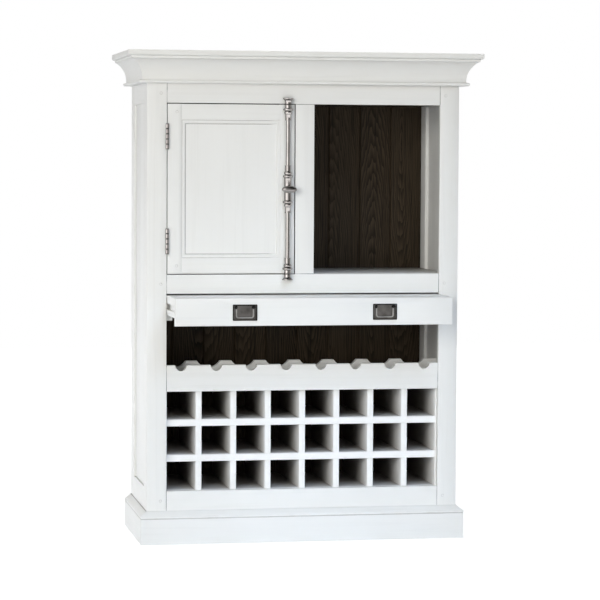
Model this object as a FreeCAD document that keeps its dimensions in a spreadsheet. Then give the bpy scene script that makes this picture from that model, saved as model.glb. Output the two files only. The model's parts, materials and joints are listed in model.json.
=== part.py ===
import FreeCAD, Part
import math
import os
import Sketcher
from types import SimpleNamespace

# Cabinet of painted timber: pigeonholes below, a cradle rack, a pull-out tray,
# and above it a bolted door beside an open bay with a hanging rack.
# Frame: the floor at Z = 0, the back plane at Y = 0, the middle of the width at X = 0.

# Counts
ROWS = 3
COLUMNS = 8
BACK_BOARDS = 9
KNUCKLES = 5
PINION_TEETH = 10
RACK_TEETH = 7
HANGER_RAILS = 4
PEG_SIDES = 10
KNOB_SIDES = 16
WIRE_SIDES = 8

# Turns in degrees
MITRE = 45
STRAIGHT = 180

# Driving sizes in millimetres
SIZES = (
    # Face frame
    ("opening_width", 830),
    ("stile_width", 58),
    ("rail_width", 58),
    ("frame_thickness", 20),
    ("body_depth", 394),
    ("rail_drop", 40),
    ("plinth_height", 99),
    ("cradle_height", 78),
    ("bay_height", 213),
    ("upper_height", 507),
    ("peg_radius", 4.5),
    ("peg_length", 16),
    ("peg_proud", 0.4),
    ("peg_play", 0.05),
    ("peg_inset", 17),
    ("door_peg_inset", 15),
    # Side frames and back
    ("side_thickness", 25),
    ("side_front_stile", 55),
    ("side_rear_stile", 72),
    ("side_rail_rise", 64),
    ("panel_board", 8),
    ("panel_recess", 7),
    ("panel_tongue", 8),
    ("panel_play", 0.15),
    ("panel_room", 1),
    ("back_board", 12),
    ("back_inset", 2),
    ("back_bevel", 3),
    ("back_rail", 20),
    # Plinth and cornice
    ("plinth_board", 20),
    ("plinth_groove_height", 77),
    ("plinth_groove_width", 3.2),
    ("plinth_groove_depth", 1.4),
    ("plinth_bevel_height", 15),
    ("plinth_top_flat", 1.5),
    ("bead_height", 10),
    ("bead_reach", 22),
    ("fascia_reach", 17.5),
    ("fascia_height", 5),
    ("cove_width", 32),
    ("cove_height", 57),
    ("crown_step", 3),
    ("fillet_height", 7),
    ("slab_reach", 62),
    ("slab_thickness", 17),
    ("slab_round", 6.5),
    # Shelves, pigeonholes and cradles
    ("inner_board", 18),
    ("shelf_board", 20),
    ("shelf_play", 1),
    ("cleat_inset", 15),
    ("hole_height", 86),
    ("divider_board", 18),
    ("rack_reveal", 4),
    ("slot_play", 0.4),
    ("notch_radius", 17),
    ("scallop_radius", 42),
    ("scallop_depth", 20),
    ("cradle_setback", 155),
    # Hanging rack
    ("hanger_lift", 1),
    ("hanger_flange", 6),
    ("hanger_space", 16),
    ("hanger_web", 12),
    ("hanger_hidden_width", 6),
    ("hanger_slot", 22),
    ("hanger_setback", 90),
    # Door and hinges
    ("door_gap", 2),
    ("door_stile", 43),
    ("door_rail", 47),
    ("door_bead", 11),
    ("door_bead_height", 6),
    ("door_bead_round", 5),
    ("hinge_length", 76),
    ("hinge_inset", 58.5),
    ("barrel_radius", 5),
    ("barrel_standoff", 5.3),
    ("hinge_pin_radius", 2.4),
    ("pin_play", 0.05),
    ("leaf_board", 1.3),
    ("leaf_width", 15),
    ("leaf_play", 0.2),
    ("knuckle_play", 0.3),
    # Sliding bolt
    ("bolt_standoff", 9.5),
    ("rod_radius", 6),
    ("rod_play", 0.1),
    ("rod_inner_end", 22),
    ("rod_tip_inset", 1.5),
    ("case_barrel_radius", 11),
    ("case_barrel_half", 35),
    ("ring_radius", 15),
    ("ring_height", 7),
    ("swell_height", 11),
    ("swell_radius", 10.6),
    ("collar_radius", 8.5),
    ("collar_height", 18),
    ("guide_neck_radius", 10.5),
    ("guide_neck_height", 10.5),
    ("guide_inset", 0.5),
    ("keeper_gap", 0.5),
    ("keeper_play", 0.2),
    ("keeper_neck_radius", 9.8),
    ("keeper_neck_height", 5),
    ("keeper_flare_height", 9.5),
    ("keeper_radius", 16),
    ("keeper_height", 17),
    ("keeper_bore_depth", 14),
    ("chamber_half_width", 8.2),
    ("chamber_half_depth", 3),
    ("chamber_half_length", 40),
    ("pinion_radius", 5),
    ("pinion_width", 5),
    ("pinion_play", 0.02),
    ("tooth_rise", 0.7),
    ("tooth_root", 1),
    ("rack_back", 7.6),
    ("rack_low_end", 17),
    ("rack_solid_start", 6.3),
    ("rack_top_end", 26),
    ("spindle_radius", 3),
    ("spindle_play", 0.05),
    ("knob_reach", 35),
    ("knob_half_length", 23),
    ("knob_half_height", 11),
    ("knob_half_depth", 10.5),
    ("knob_arris", 4),
    ("knob_neck_radius", 6),
    ("knob_clearance", 0.5),
    # Tray, runners and pulls
    ("tray_play", 2),
    ("tray_gap", 4),
    ("tray_front_height", 80),
    ("tray_side_height", 58),
    ("tray_depth", 340),
    ("tray_top_board", 16),
    ("tray_pull", 180),
    ("groove_drop", 24),
    ("groove_height", 18),
    ("groove_depth", 10),
    ("runner_play", 0.3),
    ("runner_head", 6),
    ("ledge_board", 18),
    ("tongue_room", 1),
    ("pull_spread", 417),
    ("pull_rise", 39),
    ("pull_width", 72),
    ("pull_height", 47),
    ("pull_plate", 3),
    ("cup_width", 60),
    ("cup_height", 38),
    ("cup_depth", 9),
    ("cup_wall", 2.5),
    ("cup_play", 0.3),
    ("bail_radius", 2.1),
    ("bail_span", 50),
    ("bail_drop", 31),
    ("bail_corner", 5),
    ("bail_play", 0.05),
    ("bail_tip_room", 0.5),
    ("pivot_rise", 15.5),
    ("pivot_depth", 4),
    # Overrun of every cut past the face it opens
    ("overrun", 100),
)

os.makedirs("parts", exist_ok=True)
document = FreeCAD.newDocument("wine_cabinet")
sheet = document.addObject("Spreadsheet::Sheet", "Sizes")
for row, (name, value) in enumerate(SIZES, start=1):
    sheet.set(f"A{row}", name)
    sheet.set(f"B{row}", str(value))
    sheet.setAlias(f"B{row}", name)
document.recompute()


class Size:
    """A length that carries its sum over the sheet and its present value."""

    def __init__(self, text, value):
        self.text = text
        self.value = value

    def __add__(self, other):
        other = as_size(other)
        return Size(f"({self.text} + {other.text})", self.value + other.value)

    def __sub__(self, other):
        other = as_size(other)
        return Size(f"({self.text} - {other.text})", self.value - other.value)

    def __mul__(self, other):
        other = as_size(other)
        return Size(f"({self.text} * {other.text})", self.value * other.value)

    def __truediv__(self, other):
        other = as_size(other)
        return Size(f"({self.text} / {other.text})", self.value / other.value)

    def __rmul__(self, other):
        return as_size(other) * self

    def __neg__(self):
        return as_size(-1) * self


def as_size(thing):
    """A plain factor written as a size."""
    return thing if isinstance(thing, Size) else Size(f"({thing})", thing)


s = SimpleNamespace()
for name, value in SIZES:
    setattr(s, name, Size(f"Sizes.{name}", float(sheet.get(name))))

ZERO = as_size(0)
PLANES = {"XY": "XY_Plane", "XZ": "XZ_Plane", "YZ": "YZ_Plane"}
subparts = []


def bind(thing, prop, amount):
    """Ties one property of an object to its sum over the sheet."""
    thing.setExpression(prop, as_size(amount).text)


def place(thing, x, y, z, axis=(0, 0, 1), turn=0):
    """Turns an object about its own origin and ties its position."""
    rotation = FreeCAD.Rotation(FreeCAD.Vector(*axis), turn)
    thing.Placement = FreeCAD.Placement(FreeCAD.Vector(), rotation)
    for letter, amount in zip("xyz", (x, y, z)):
        bind(thing, f"Placement.Base.{letter}", amount)
    return thing


def board(name, across, deep, high, x, y, z):
    """A square-edged board from its three sizes and its low corner."""
    box = document.addObject("Part::Box", name)
    bind(box, "Length", across)
    bind(box, "Width", deep)
    bind(box, "Height", high)
    return place(box, x, y, z)


def dowel(name, radius, length, x, y, z, axis=(0, 0, 1), turn=0):
    """A cylinder from its radius, its length and the middle of its lower end."""
    cylinder = document.addObject("Part::Cylinder", name)
    bind(cylinder, "Radius", radius)
    bind(cylinder, "Height", length)
    return place(cylinder, x, y, z, axis, turn)


def to_front(name, radius, length, x, y, z):
    """A cylinder that runs towards the front from the middle of its rear end."""
    return dowel(name, radius, length, x, y, z, (1, 0, 0), 90)


def fused(name, pieces):
    """Several shapes joined into one solid."""
    joined = document.addObject("Part::MultiFuse", name)
    joined.Shapes = pieces
    joined.Refine = True
    return joined


def carved(name, blank, cutters):
    """A blank with one or more cutters taken out of it."""
    cut = document.addObject("Part::Cut", name)
    cut.Base = blank
    cut.Tool = cutters[0] if len(cutters) == 1 else fused(f"{name}_cutters", cutters)
    return cut


def grouped(name, pieces):
    """Separate solids kept together under one name."""
    group = document.addObject("Part::Compound", name)
    group.Links = pieces
    return group


def subpart(thing, name):
    """Names a finished sub-part and lists it for export."""
    thing.Label = name
    subparts.append(thing)
    return thing


def new_sketch(body, name, plane):
    """An empty sketch on one of the body's own planes."""
    sketch = body.newObject("Sketcher::SketchObject", name)
    role = PLANES[plane]
    support = [face for face in body.Origin.OriginFeatures if face.Role == role][0]
    sketch.AttachmentSupport = (support, [""])
    sketch.MapMode = "FlatFace"
    return sketch


def tie_point(sketch, item, end, label, across, up):
    """Ties one end of a sketch line to its distances from the origin."""
    for kind, amount, line in (("DistanceX", across, -2), ("DistanceY", up, -1)):
        if amount.value == 0:
            sketch.addConstraint(Sketcher.Constraint("PointOnObject", item, end, line))
            continue
        rule = Sketcher.Constraint(kind, -1, 1, item, end, amount.value)
        index = sketch.addConstraint(rule)
        sketch.renameConstraint(index, f"{label}_{kind}")
        bind(sketch, f"Constraints.{label}_{kind}", amount)


def arc_between(start, end, radius, side):
    """An arc from one point to the next with its centre on the side given."""
    chord = end - start
    middle = (start + end) / 2
    rise = math.sqrt(max(radius * radius - chord.Length * chord.Length / 4, 0))
    normal = FreeCAD.Vector(-chord.y, chord.x, 0).normalize()
    centre = middle + normal * (rise if side == "left" else -rise)
    first = start - centre
    last = end - centre
    if side == "right":
        first, last = last, first
    circle = Part.Circle(centre, FreeCAD.Vector(0, 0, 1), radius)
    return Part.ArcOfCircle(circle, math.atan2(first.y, first.x), math.atan2(last.y, last.x))


def draw(sketch, corners, closed=True):
    """Draws lines and arcs through the corners and ties each corner to the sheet."""
    corners = [tuple(as_size(n) if not isinstance(n, str) else n for n in c) for c in corners]
    points = [FreeCAD.Vector(corner[0].value, corner[1].value, 0) for corner in corners]
    count = len(corners) if closed else len(corners) - 1
    ends = []
    radii = []
    for index in range(count):
        target = corners[(index + 1) % len(corners)]
        start = points[index]
        end = points[(index + 1) % len(corners)]
        if len(target) == 2:
            sketch.addGeometry(Part.LineSegment(start, end), False)
            ends.append((1, 2))
            continue
        sketch.addGeometry(arc_between(start, end, target[2].value, target[3]), False)
        ends.append((1, 2) if target[3] == "left" else (2, 1))
        radii.append((index, target[2]))
    for index in range(count if closed else count - 1):
        following = (index + 1) % count
        rule = Sketcher.Constraint("Coincident", index, ends[index][1], following, ends[following][0])
        sketch.addConstraint(rule)
    for index in range(count):
        tie_point(sketch, index, ends[index][0], f"corner_{index}", corners[index][0], corners[index][1])
    if not closed:
        tie_point(sketch, count - 1, ends[-1][1], "corner_end", corners[-1][0], corners[-1][1])
    for item, radius in radii:
        index = sketch.addConstraint(Sketcher.Constraint("Radius", item, radius.value))
        sketch.renameConstraint(index, f"radius_{item}")
        bind(sketch, f"Constraints.radius_{item}", radius)
    return sketch


def draw_circle(sketch, radius):
    """A circle about the sketch's origin."""
    circle = Part.Circle(FreeCAD.Vector(), FreeCAD.Vector(0, 0, 1), radius.value)
    item = sketch.addGeometry(circle, False)
    sketch.addConstraint(Sketcher.Constraint("Coincident", item, 3, -1, 1))
    index = sketch.addConstraint(Sketcher.Constraint("Radius", item, radius.value))
    sketch.renameConstraint(index, f"circle_{item}")
    bind(sketch, f"Constraints.circle_{item}", radius)


def run(name, plane, corners, length):
    """A straight length of one section, drawn on a plane and pushed along its normal."""
    body = document.addObject("PartDesign::Body", name)
    sketch = draw(new_sketch(body, f"{name}_section", plane), corners)
    pad = body.newObject("PartDesign::Pad", f"{name}_length")
    pad.Profile = sketch
    bind(pad, "Length", length)
    return body


def turned(name, corners):
    """A piece turned about its own upright axis from half of its section."""
    body = document.addObject("PartDesign::Body", name)
    sketch = draw(new_sketch(body, f"{name}_section", "XZ"), corners)
    turning = body.newObject("PartDesign::Revolution", f"{name}_turning")
    turning.Profile = sketch
    turning.ReferenceAxis = (sketch, ["V_Axis"])
    return body


# Levels and planes
body_width = s.opening_width + 2 * s.stile_width
half_opening = s.opening_width / 2
half_body = body_width / 2
inside_half = half_body - s.side_thickness
front = -s.body_depth
frame_back = front + s.frame_thickness
back_face = -(s.back_inset + s.back_board)
inside_depth = back_face - frame_back
rail_foot = s.plinth_height - s.rail_drop
rack_floor_top = s.plinth_height + s.rail_width
rack_height = ROWS * s.hole_height + (ROWS - 1) * s.shelf_board
rack_top = rack_floor_top + rack_height
cradle_top = rack_top + s.cradle_height
bay_top = cradle_top + s.bay_height
upper_bottom = bay_top + s.rail_width
upper_top = upper_bottom + s.upper_height
bead_bottom = upper_top + s.rail_width
crown_bottom = bead_bottom + s.bead_height
crown_height = s.fascia_height + s.cove_height + s.fillet_height
body_top = crown_bottom + crown_height
overall_height = body_top + s.slab_thickness

# Door and hinge positions, needed by the stile that carries the door
door_left = s.door_gap - half_opening
door_width = half_opening - s.stile_width / 2 - 2 * s.door_gap
door_right = door_left + door_width
door_bottom = upper_bottom + s.door_gap
door_height = s.upper_height - 2 * s.door_gap
door_top = door_bottom + door_height
hinge_x = s.door_gap / 2 - half_opening
hinge_y = front - s.barrel_standoff
hinge_levels = (door_bottom + s.hinge_inset, door_top - s.hinge_inset - s.hinge_length)
frame_leaf_x = hinge_x - s.leaf_play - s.leaf_board
door_leaf_x = hinge_x + s.leaf_play


def leaf_mortise(name, x, level):
    """The shallow bed of one hinge leaf in the edge of a stile."""
    deep = s.leaf_width + s.overrun
    return board(name, s.leaf_board, deep, s.hinge_length, x, front - s.overrun, level)


def many_sided(name, radius, length, x, z):
    """A whittled peg with flat sides that runs towards the front."""
    prism = document.addObject("Part::Prism", name)
    prism.Polygon = PEG_SIDES
    bind(prism, "Circumradius", radius)
    bind(prism, "Height", length)
    return place(prism, x, front + s.peg_length, z, (1, 0, 0), 90)


def peg_hole(name, x, z):
    """The hole of one joint peg, cut to its sides from the front."""
    return many_sided(name, s.peg_radius + s.peg_play, s.peg_length + s.overrun, x, z)


def peg(name, x, z):
    """A joint peg that stands a little proud of the front."""
    return many_sided(name, s.peg_radius, s.peg_length + s.peg_proud, x, z)


# Face frame: two stiles with rails between them
peg_x = half_opening + s.peg_inset
half_rail = s.rail_width / 2
peg_levels = (s.plinth_height + half_rail, bay_top + half_rail, upper_top + half_rail)
frame_pegs = []
for side, sign in (("left", -1), ("right", 1)):
    low_x = -half_body if sign < 0 else half_opening
    blank = board(f"stile_{side}_blank", s.stile_width, s.frame_thickness, body_top, low_x, front, ZERO)
    cutters = []
    for index, level in enumerate(peg_levels):
        cutters.append(peg_hole(f"stile_{side}_peg_hole_{index}", sign * peg_x, level))
        frame_pegs.append(peg(f"frame_peg_{side}_{index}", sign * peg_x, level))
    if side == "left":
        for index, level in enumerate(hinge_levels):
            cutters.append(leaf_mortise(f"stile_mortise_{index}", frame_leaf_x, level))
    subpart(carved(f"stile_{side}_cut", blank, cutters), f"face_stile_{side}")
subpart(grouped("frame_peg_set", frame_pegs), "frame_pegs")


def rail(name, foot, head):
    """A rail of the face frame between the two stiles."""
    return board(name, s.opening_width, s.frame_thickness, head - foot, -half_opening, front, foot)


subpart(rail("frieze", upper_top, body_top), "frieze_rail")
subpart(rail("middle", bay_top, upper_bottom), "middle_rail")
subpart(rail("bottom", rail_foot, rack_floor_top), "bottom_rail")
half_stile = s.stile_width / 2
centre_stile = board(
    "centre", s.stile_width, s.frame_thickness, s.upper_height, -half_stile, front, upper_bottom
)
subpart(centre_stile, "centre_stile")

# Side frames: grooved stiles and rails round a thin recessed panel
side_opening = s.body_depth - s.frame_thickness - s.side_front_stile - s.side_rear_stile
side_opening_front = frame_back + s.side_front_stile
side_panel_foot = s.plinth_height + s.side_rail_rise
side_panel_head = upper_top
groove_reach = s.panel_tongue + s.panel_room
groove_width = s.panel_board + 2 * s.panel_play
side_members = {"front_stile": [], "rear_stile": [], "top_rail": [], "bottom_rail": []}
for side, sign in (("left", -1), ("right", 1)):
    low_x = -half_body if sign < 0 else inside_half
    panel_x = s.panel_recess - half_body if sign < 0 else half_body - s.panel_recess - s.panel_board
    blanks = {
        "front_stile": (frame_back, s.side_front_stile, ZERO, body_top),
        "rear_stile": (-s.side_rear_stile, s.side_rear_stile, ZERO, body_top),
        "top_rail": (side_opening_front, side_opening, side_panel_head, body_top),
        "bottom_rail": (side_opening_front, side_opening, rail_foot, side_panel_foot),
    }
    for member, (low_y, deep, foot, head) in blanks.items():
        label = f"side_{member}_{side}"
        blank = board(f"{label}_blank", s.side_thickness, deep, head - foot, low_x, low_y, foot)
        groove = board(
            f"{label}_groove",
            groove_width,
            side_opening + 2 * groove_reach,
            side_panel_head - side_panel_foot + 2 * groove_reach,
            panel_x - s.panel_play,
            side_opening_front - groove_reach,
            side_panel_foot - groove_reach,
        )
        side_members[member].append(carved(f"{label}_cut", blank, [groove]))
    panel = board(
        f"panel_{side}",
        s.panel_board,
        side_opening + 2 * s.panel_tongue,
        side_panel_head - side_panel_foot + 2 * s.panel_tongue,
        panel_x,
        side_opening_front - s.panel_tongue,
        side_panel_foot - s.panel_tongue,
    )
    subpart(panel, f"side_panel_{side}")
for member, pieces in side_members.items():
    subpart(grouped(f"side_{member}_pair", pieces), f"side_{member}s")

# Back: upright boards with a V between neighbours, over a rail on the floor
back_width = 2 * inside_half / BACK_BOARDS
back_section = (
    (ZERO, s.back_bevel),
    (s.back_bevel, ZERO),
    (back_width - s.back_bevel, ZERO),
    (back_width, s.back_bevel),
    (back_width, s.back_board),
    (ZERO, s.back_board),
)
back_boards = []
for index in range(BACK_BOARDS):
    upright = run(f"back_upright_{index}", "XY", back_section, body_top - s.plinth_height)
    place(upright, index * back_width - inside_half, back_face, s.plinth_height)
    back_boards.append(upright)
subpart(grouped("back_upright_set", back_boards), "back_boards")
back_foot = board(
    "back_foot", 2 * inside_half, s.back_rail, s.plinth_height, -inside_half, -s.back_rail, ZERO
)
subpart(back_foot, "back_bottom_rail")


def mitre(name, x, turn):
    """A cutter with one face on the mitre through a front corner of the body."""
    reach = s.body_depth / 2
    knife = document.addObject("Part::Box", name)
    bind(knife, "Length", reach)
    bind(knife, "Width", 2 * reach)
    bind(knife, "Height", overall_height + 2 * s.overrun)
    angle = math.radians(turn)
    knife_x = x + math.sin(angle) * reach
    knife_y = front - math.cos(angle) * reach
    return place(knife, knife_x, knife_y, -s.overrun, (0, 0, 1), turn)


def moulding(name, section, reach, level):
    """A mitred moulding round the front and both sides of the body."""
    full = run(f"{name}_front_run", "YZ", section, body_width + 2 * reach)
    place(full, -(half_body + reach), front, level)
    knives = [mitre(f"{name}_knife_right", half_body, MITRE)]
    knives.append(mitre(f"{name}_knife_left", -half_body, STRAIGHT - MITRE))
    pieces = [carved(f"{name}_front_cut", full, knives)]
    left = run(f"{name}_left_run", "YZ", section, s.body_depth + reach)
    place(left, -half_body, ZERO, level, (0, 0, 1), -90)
    knife = mitre(f"{name}_knife_back_left", -half_body, -MITRE)
    pieces.append(carved(f"{name}_left_cut", left, [knife]))
    right = run(f"{name}_right_run", "YZ", section, s.body_depth + reach)
    place(right, half_body, front - reach, level, (0, 0, 1), 90)
    knife = mitre(f"{name}_knife_back_right", half_body, MITRE - STRAIGHT)
    pieces.append(carved(f"{name}_right_cut", right, [knife]))
    return pieces


# Plinth: boards applied to the foot, with a V-groove under a long bevel
half_groove = s.plinth_groove_width / 2
plinth_section = (
    (ZERO, ZERO),
    (-s.plinth_board, ZERO),
    (-s.plinth_board, s.plinth_groove_height - half_groove),
    (s.plinth_groove_depth - s.plinth_board, s.plinth_groove_height),
    (-s.plinth_board, s.plinth_groove_height + half_groove),
    (-s.plinth_board, s.plinth_height - s.plinth_bevel_height),
    (-s.plinth_top_flat, s.plinth_height),
    (ZERO, s.plinth_height),
)
plinth = moulding("plinth", plinth_section, s.plinth_board, ZERO)
subpart(plinth[0], "plinth_front")
subpart(grouped("plinth_pair", plinth[1:]), "plinth_returns")

# Cornice: a half-round bead, a coved crown and a slab with its lower arris rounded
half_bead = s.bead_height / 2
bead_section = (
    (ZERO, ZERO),
    (-s.bead_reach, ZERO),
    (-(s.bead_reach + half_bead), half_bead, half_bead, "right"),
    (-s.bead_reach, s.bead_height, half_bead, "right"),
    (ZERO, s.bead_height),
)
bead = moulding("bead", bead_section, s.bead_reach + half_bead, bead_bottom)
subpart(grouped("bead_set", bead), "cornice_bead")
cove_reach = s.fascia_reach + s.cove_width
cove_head = s.fascia_height + s.cove_height
cove_radius = (s.cove_width * s.cove_width + s.cove_height * s.cove_height) / (2 * s.cove_width)
crown_reach = cove_reach + s.crown_step
crown_section = (
    (ZERO, ZERO),
    (-s.fascia_reach, ZERO),
    (-s.fascia_reach, s.fascia_height),
    (-cove_reach, cove_head, cove_radius, "left"),
    (-crown_reach, cove_head),
    (-crown_reach, crown_height),
    (ZERO, crown_height),
)
crown = moulding("crown", crown_section, crown_reach, crown_bottom)
subpart(crown[0], "crown_front")
subpart(grouped("crown_pair", crown[1:]), "crown_returns")
slab_width = body_width + 2 * s.slab_reach
slab_depth = s.body_depth + s.slab_reach
slab = document.addObject("PartDesign::Body", "slab")
slab_board = slab.newObject("PartDesign::AdditiveBox", "slab_board")
bind(slab_board, "Length", slab_width)
bind(slab_board, "Width", slab_depth)
bind(slab_board, "Height", s.slab_thickness)
document.recompute()
lower_arrises = []
for index, edge in enumerate(slab_board.Shape.Edges, start=1):
    middle = edge.BoundBox.Center
    lies_low = middle.z < s.slab_thickness.value / 4
    at_wall = middle.y > slab_depth.value * 3 / 4
    if lies_low and not at_wall:
        lower_arrises.append(f"Edge{index}")
slab_round = slab.newObject("PartDesign::Fillet", "slab_arris")
slab_round.Base = (slab_board, lower_arrises)
bind(slab_round, "Radius", s.slab_round)
place(slab, -(half_body + s.slab_reach), front - s.slab_reach, body_top)
subpart(slab, "cornice_top")


def deck(name, thickness, foot):
    """A board that fills the inside of the body from side to side."""
    return board(name, 2 * inside_half, inside_depth, thickness, -inside_half, frame_back, foot)


# Upper bays: top, floor, partition and the shelf behind the door
top_foot = body_top - s.inner_board
subpart(deck("top_deck", s.inner_board, top_foot), "top_panel")
subpart(deck("upper_deck", s.shelf_board, upper_bottom - s.shelf_board), "upper_floor")
half_partition = s.shelf_board / 2
partition = board(
    "divide",
    s.shelf_board,
    inside_depth,
    top_foot - upper_bottom,
    -half_partition,
    frame_back,
    upper_bottom,
)
subpart(partition, "partition")
shelf_foot = upper_bottom + s.upper_height / 2
door_shelf = board(
    "bay_shelf",
    inside_half - half_partition - 2 * s.shelf_play,
    inside_depth - s.shelf_play,
    s.inner_board,
    s.shelf_play - inside_half,
    frame_back + s.shelf_play,
    shelf_foot,
)
subpart(door_shelf, "door_bay_shelf")
cleats = []
for side, low_x in (("left", -inside_half), ("right", -(half_partition + s.inner_board))):
    cleat = board(
        f"cleat_{side}",
        s.inner_board,
        inside_depth - 2 * s.cleat_inset,
        s.inner_board,
        low_x,
        frame_back + s.cleat_inset,
        shelf_foot - s.inner_board,
    )
    cleats.append(cleat)
subpart(grouped("cleat_pair", cleats), "shelf_cleats")

# Hanging rack: flanged rails under a board, in the open bay on the right
hanger_foot = upper_top + s.hanger_lift
hanger_web_foot = hanger_foot + s.hanger_flange
hanger_head = hanger_web_foot + s.hanger_space
hanger_deck = board(
    "hanger_deck",
    inside_half - half_partition,
    inside_depth,
    s.inner_board,
    half_partition,
    frame_back,
    hanger_head,
)
subpart(hanger_deck, "hanger_board")
hanger_centre = (half_opening + half_stile) / 2
hanger_front = frame_back + s.hanger_setback
hanger_length = inside_depth - s.hanger_setback
hanger_total = half_opening - half_stile + 2 * s.hanger_hidden_width
hanger_pitch = (hanger_total + s.hanger_slot) / HANGER_RAILS
hanger_width = hanger_pitch - s.hanger_slot
hangers = []
for index in range(HANGER_RAILS):
    offset_share = index - (HANGER_RAILS - 1) / 2
    middle_x = hanger_centre + offset_share * hanger_pitch
    flange = board(
        f"hanger_flange_{index}",
        hanger_width,
        hanger_length,
        s.hanger_flange,
        middle_x - hanger_width / 2,
        hanger_front,
        hanger_foot,
    )
    web = board(
        f"hanger_web_{index}",
        s.hanger_web,
        hanger_length,
        s.hanger_space,
        middle_x - s.hanger_web / 2,
        hanger_front,
        hanger_web_foot,
    )
    hangers.append(fused(f"hanger_{index}", [flange, web]))
subpart(grouped("hanger_set", hangers), "hanger_rails")

# Pigeonhole rack: shelves and dividers halved over each other
rack_half = half_opening - s.rack_reveal
hole_pitch = (2 * rack_half + s.divider_board) / COLUMNS
subpart(deck("rack_deck", s.inner_board, rack_floor_top - s.inner_board), "rack_floor")
subpart(deck("rack_lid", s.inner_board, rack_top), "rack_top")
rack_sides = []
for side, low_x in (("left", -(rack_half + s.inner_board)), ("right", rack_half)):
    wall = board(
        f"rack_wall_{side}", s.inner_board, inside_depth, rack_height, low_x, frame_back, rack_floor_top
    )
    rack_sides.append(wall)
subpart(grouped("rack_wall_pair", rack_sides), "rack_sides")
half_depth = inside_depth / 2
divider_xs = []
for index in range(1, COLUMNS):
    divider_xs.append(index * hole_pitch - s.divider_board - rack_half)
shelf_levels = []
for index in range(1, ROWS):
    shelf_levels.append(rack_floor_top + index * s.hole_height + (index - 1) * s.shelf_board)
rack_shelves = []
for row, level in enumerate(shelf_levels):
    blank = board(
        f"rack_shelf_{row}_blank", 2 * rack_half, inside_depth, s.shelf_board, -rack_half, frame_back, level
    )
    slots = []
    for column, low_x in enumerate(divider_xs):
        slot = board(
            f"rack_shelf_{row}_slot_{column}",
            s.divider_board + 2 * s.slot_play,
            half_depth + s.overrun,
            s.shelf_board + 2 * s.overrun,
            low_x - s.slot_play,
            frame_back + half_depth,
            level - s.overrun,
        )
        slots.append(slot)
    rack_shelves.append(carved(f"rack_shelf_{row}_cut", blank, slots))
subpart(grouped("rack_shelf_set", rack_shelves), "rack_shelves")
rack_dividers = []
for column, low_x in enumerate(divider_xs):
    blank = board(
        f"divider_{column}_blank",
        s.divider_board,
        inside_depth,
        rack_height,
        low_x,
        frame_back,
        rack_floor_top,
    )
    slots = []
    for row, level in enumerate(shelf_levels):
        slot = board(
            f"divider_{column}_slot_{row}",
            s.divider_board + 2 * s.overrun,
            half_depth + s.overrun,
            s.shelf_board + 2 * s.slot_play,
            low_x - s.overrun,
            frame_back - s.overrun,
            level - s.slot_play,
        )
        slots.append(slot)
    rack_dividers.append(carved(f"divider_{column}_cut", blank, slots))
subpart(grouped("divider_set", rack_dividers), "rack_dividers")

# Cradle rack: a front rail with small notches, a rear rail with wide scallops
cradle_pitch = (s.opening_width + s.divider_board) / COLUMNS
cradle_rear = front + s.cradle_setback
rear_foot = rack_top + s.inner_board
notches = []
scallops = []
for index in range(COLUMNS):
    offset_share = index - (COLUMNS - 1) / 2
    middle_x = offset_share * cradle_pitch
    length = s.frame_thickness + 2 * s.overrun
    notch_y = frame_back + s.overrun
    notches.append(to_front(f"notch_{index}", s.notch_radius, length, middle_x, notch_y, cradle_top))
    scallop_z = cradle_top + s.scallop_radius - s.scallop_depth
    scallop_y = cradle_rear + s.frame_thickness + s.overrun
    scallops.append(to_front(f"scallop_{index}", s.scallop_radius, length, middle_x, scallop_y, scallop_z))
subpart(carved("cradle_front_cut", rail("cradle_front", rack_top, cradle_top), notches), "cradle_front_rail")
rear_blank = board(
    "cradle_rear",
    2 * inside_half,
    s.frame_thickness,
    cradle_top - rear_foot,
    -inside_half,
    cradle_rear,
    rear_foot,
)
subpart(carved("cradle_rear_cut", rear_blank, scallops), "cradle_rear_rail")

# Door frame: grooved stiles and rails, flush with the face frame
panel_y = front + s.panel_recess
door_inner_left = door_left + s.door_stile
door_inner_width = door_width - 2 * s.door_stile
door_inner_bottom = door_bottom + s.door_rail
door_inner_height = door_height - 2 * s.door_rail
door_members = {
    "door_hinge_stile": (door_left, s.door_stile, door_bottom, door_height),
    "door_lock_stile": (door_right - s.door_stile, s.door_stile, door_bottom, door_height),
    "door_top_rail": (door_inner_left, door_inner_width, door_top - s.door_rail, s.door_rail),
    "door_bottom_rail": (door_inner_left, door_inner_width, door_bottom, s.door_rail),
}
door_peg_x = door_inner_left - s.door_peg_inset
door_peg_levels = (door_bottom + s.door_rail / 2, door_top - s.door_rail / 2)
door_pegs = []
for member, (low_x, across, foot, high) in door_members.items():
    blank = board(f"{member}_blank", across, s.frame_thickness, high, low_x, front, foot)
    groove = board(
        f"{member}_groove",
        door_inner_width + 2 * groove_reach,
        groove_width,
        door_inner_height + 2 * groove_reach,
        door_inner_left - groove_reach,
        panel_y - s.panel_play,
        door_inner_bottom - groove_reach,
    )
    cutters = [groove]
    if member == "door_hinge_stile":
        for index, level in enumerate(hinge_levels):
            cutters.append(leaf_mortise(f"door_mortise_{index}", door_leaf_x, level))
        for index, level in enumerate(door_peg_levels):
            cutters.append(peg_hole(f"door_peg_hole_{index}", door_peg_x, level))
            door_pegs.append(peg(f"door_peg_{index}", door_peg_x, level))
    subpart(carved(f"{member}_cut", blank, cutters), member)
subpart(grouped("door_peg_set", door_pegs), "door_pegs")
door_panel = board(
    "door_field",
    door_inner_width + 2 * s.panel_tongue,
    s.panel_board,
    door_inner_height + 2 * s.panel_tongue,
    door_inner_left - s.panel_tongue,
    panel_y,
    door_inner_bottom - s.panel_tongue,
)
subpart(door_panel, "door_panel")


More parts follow.
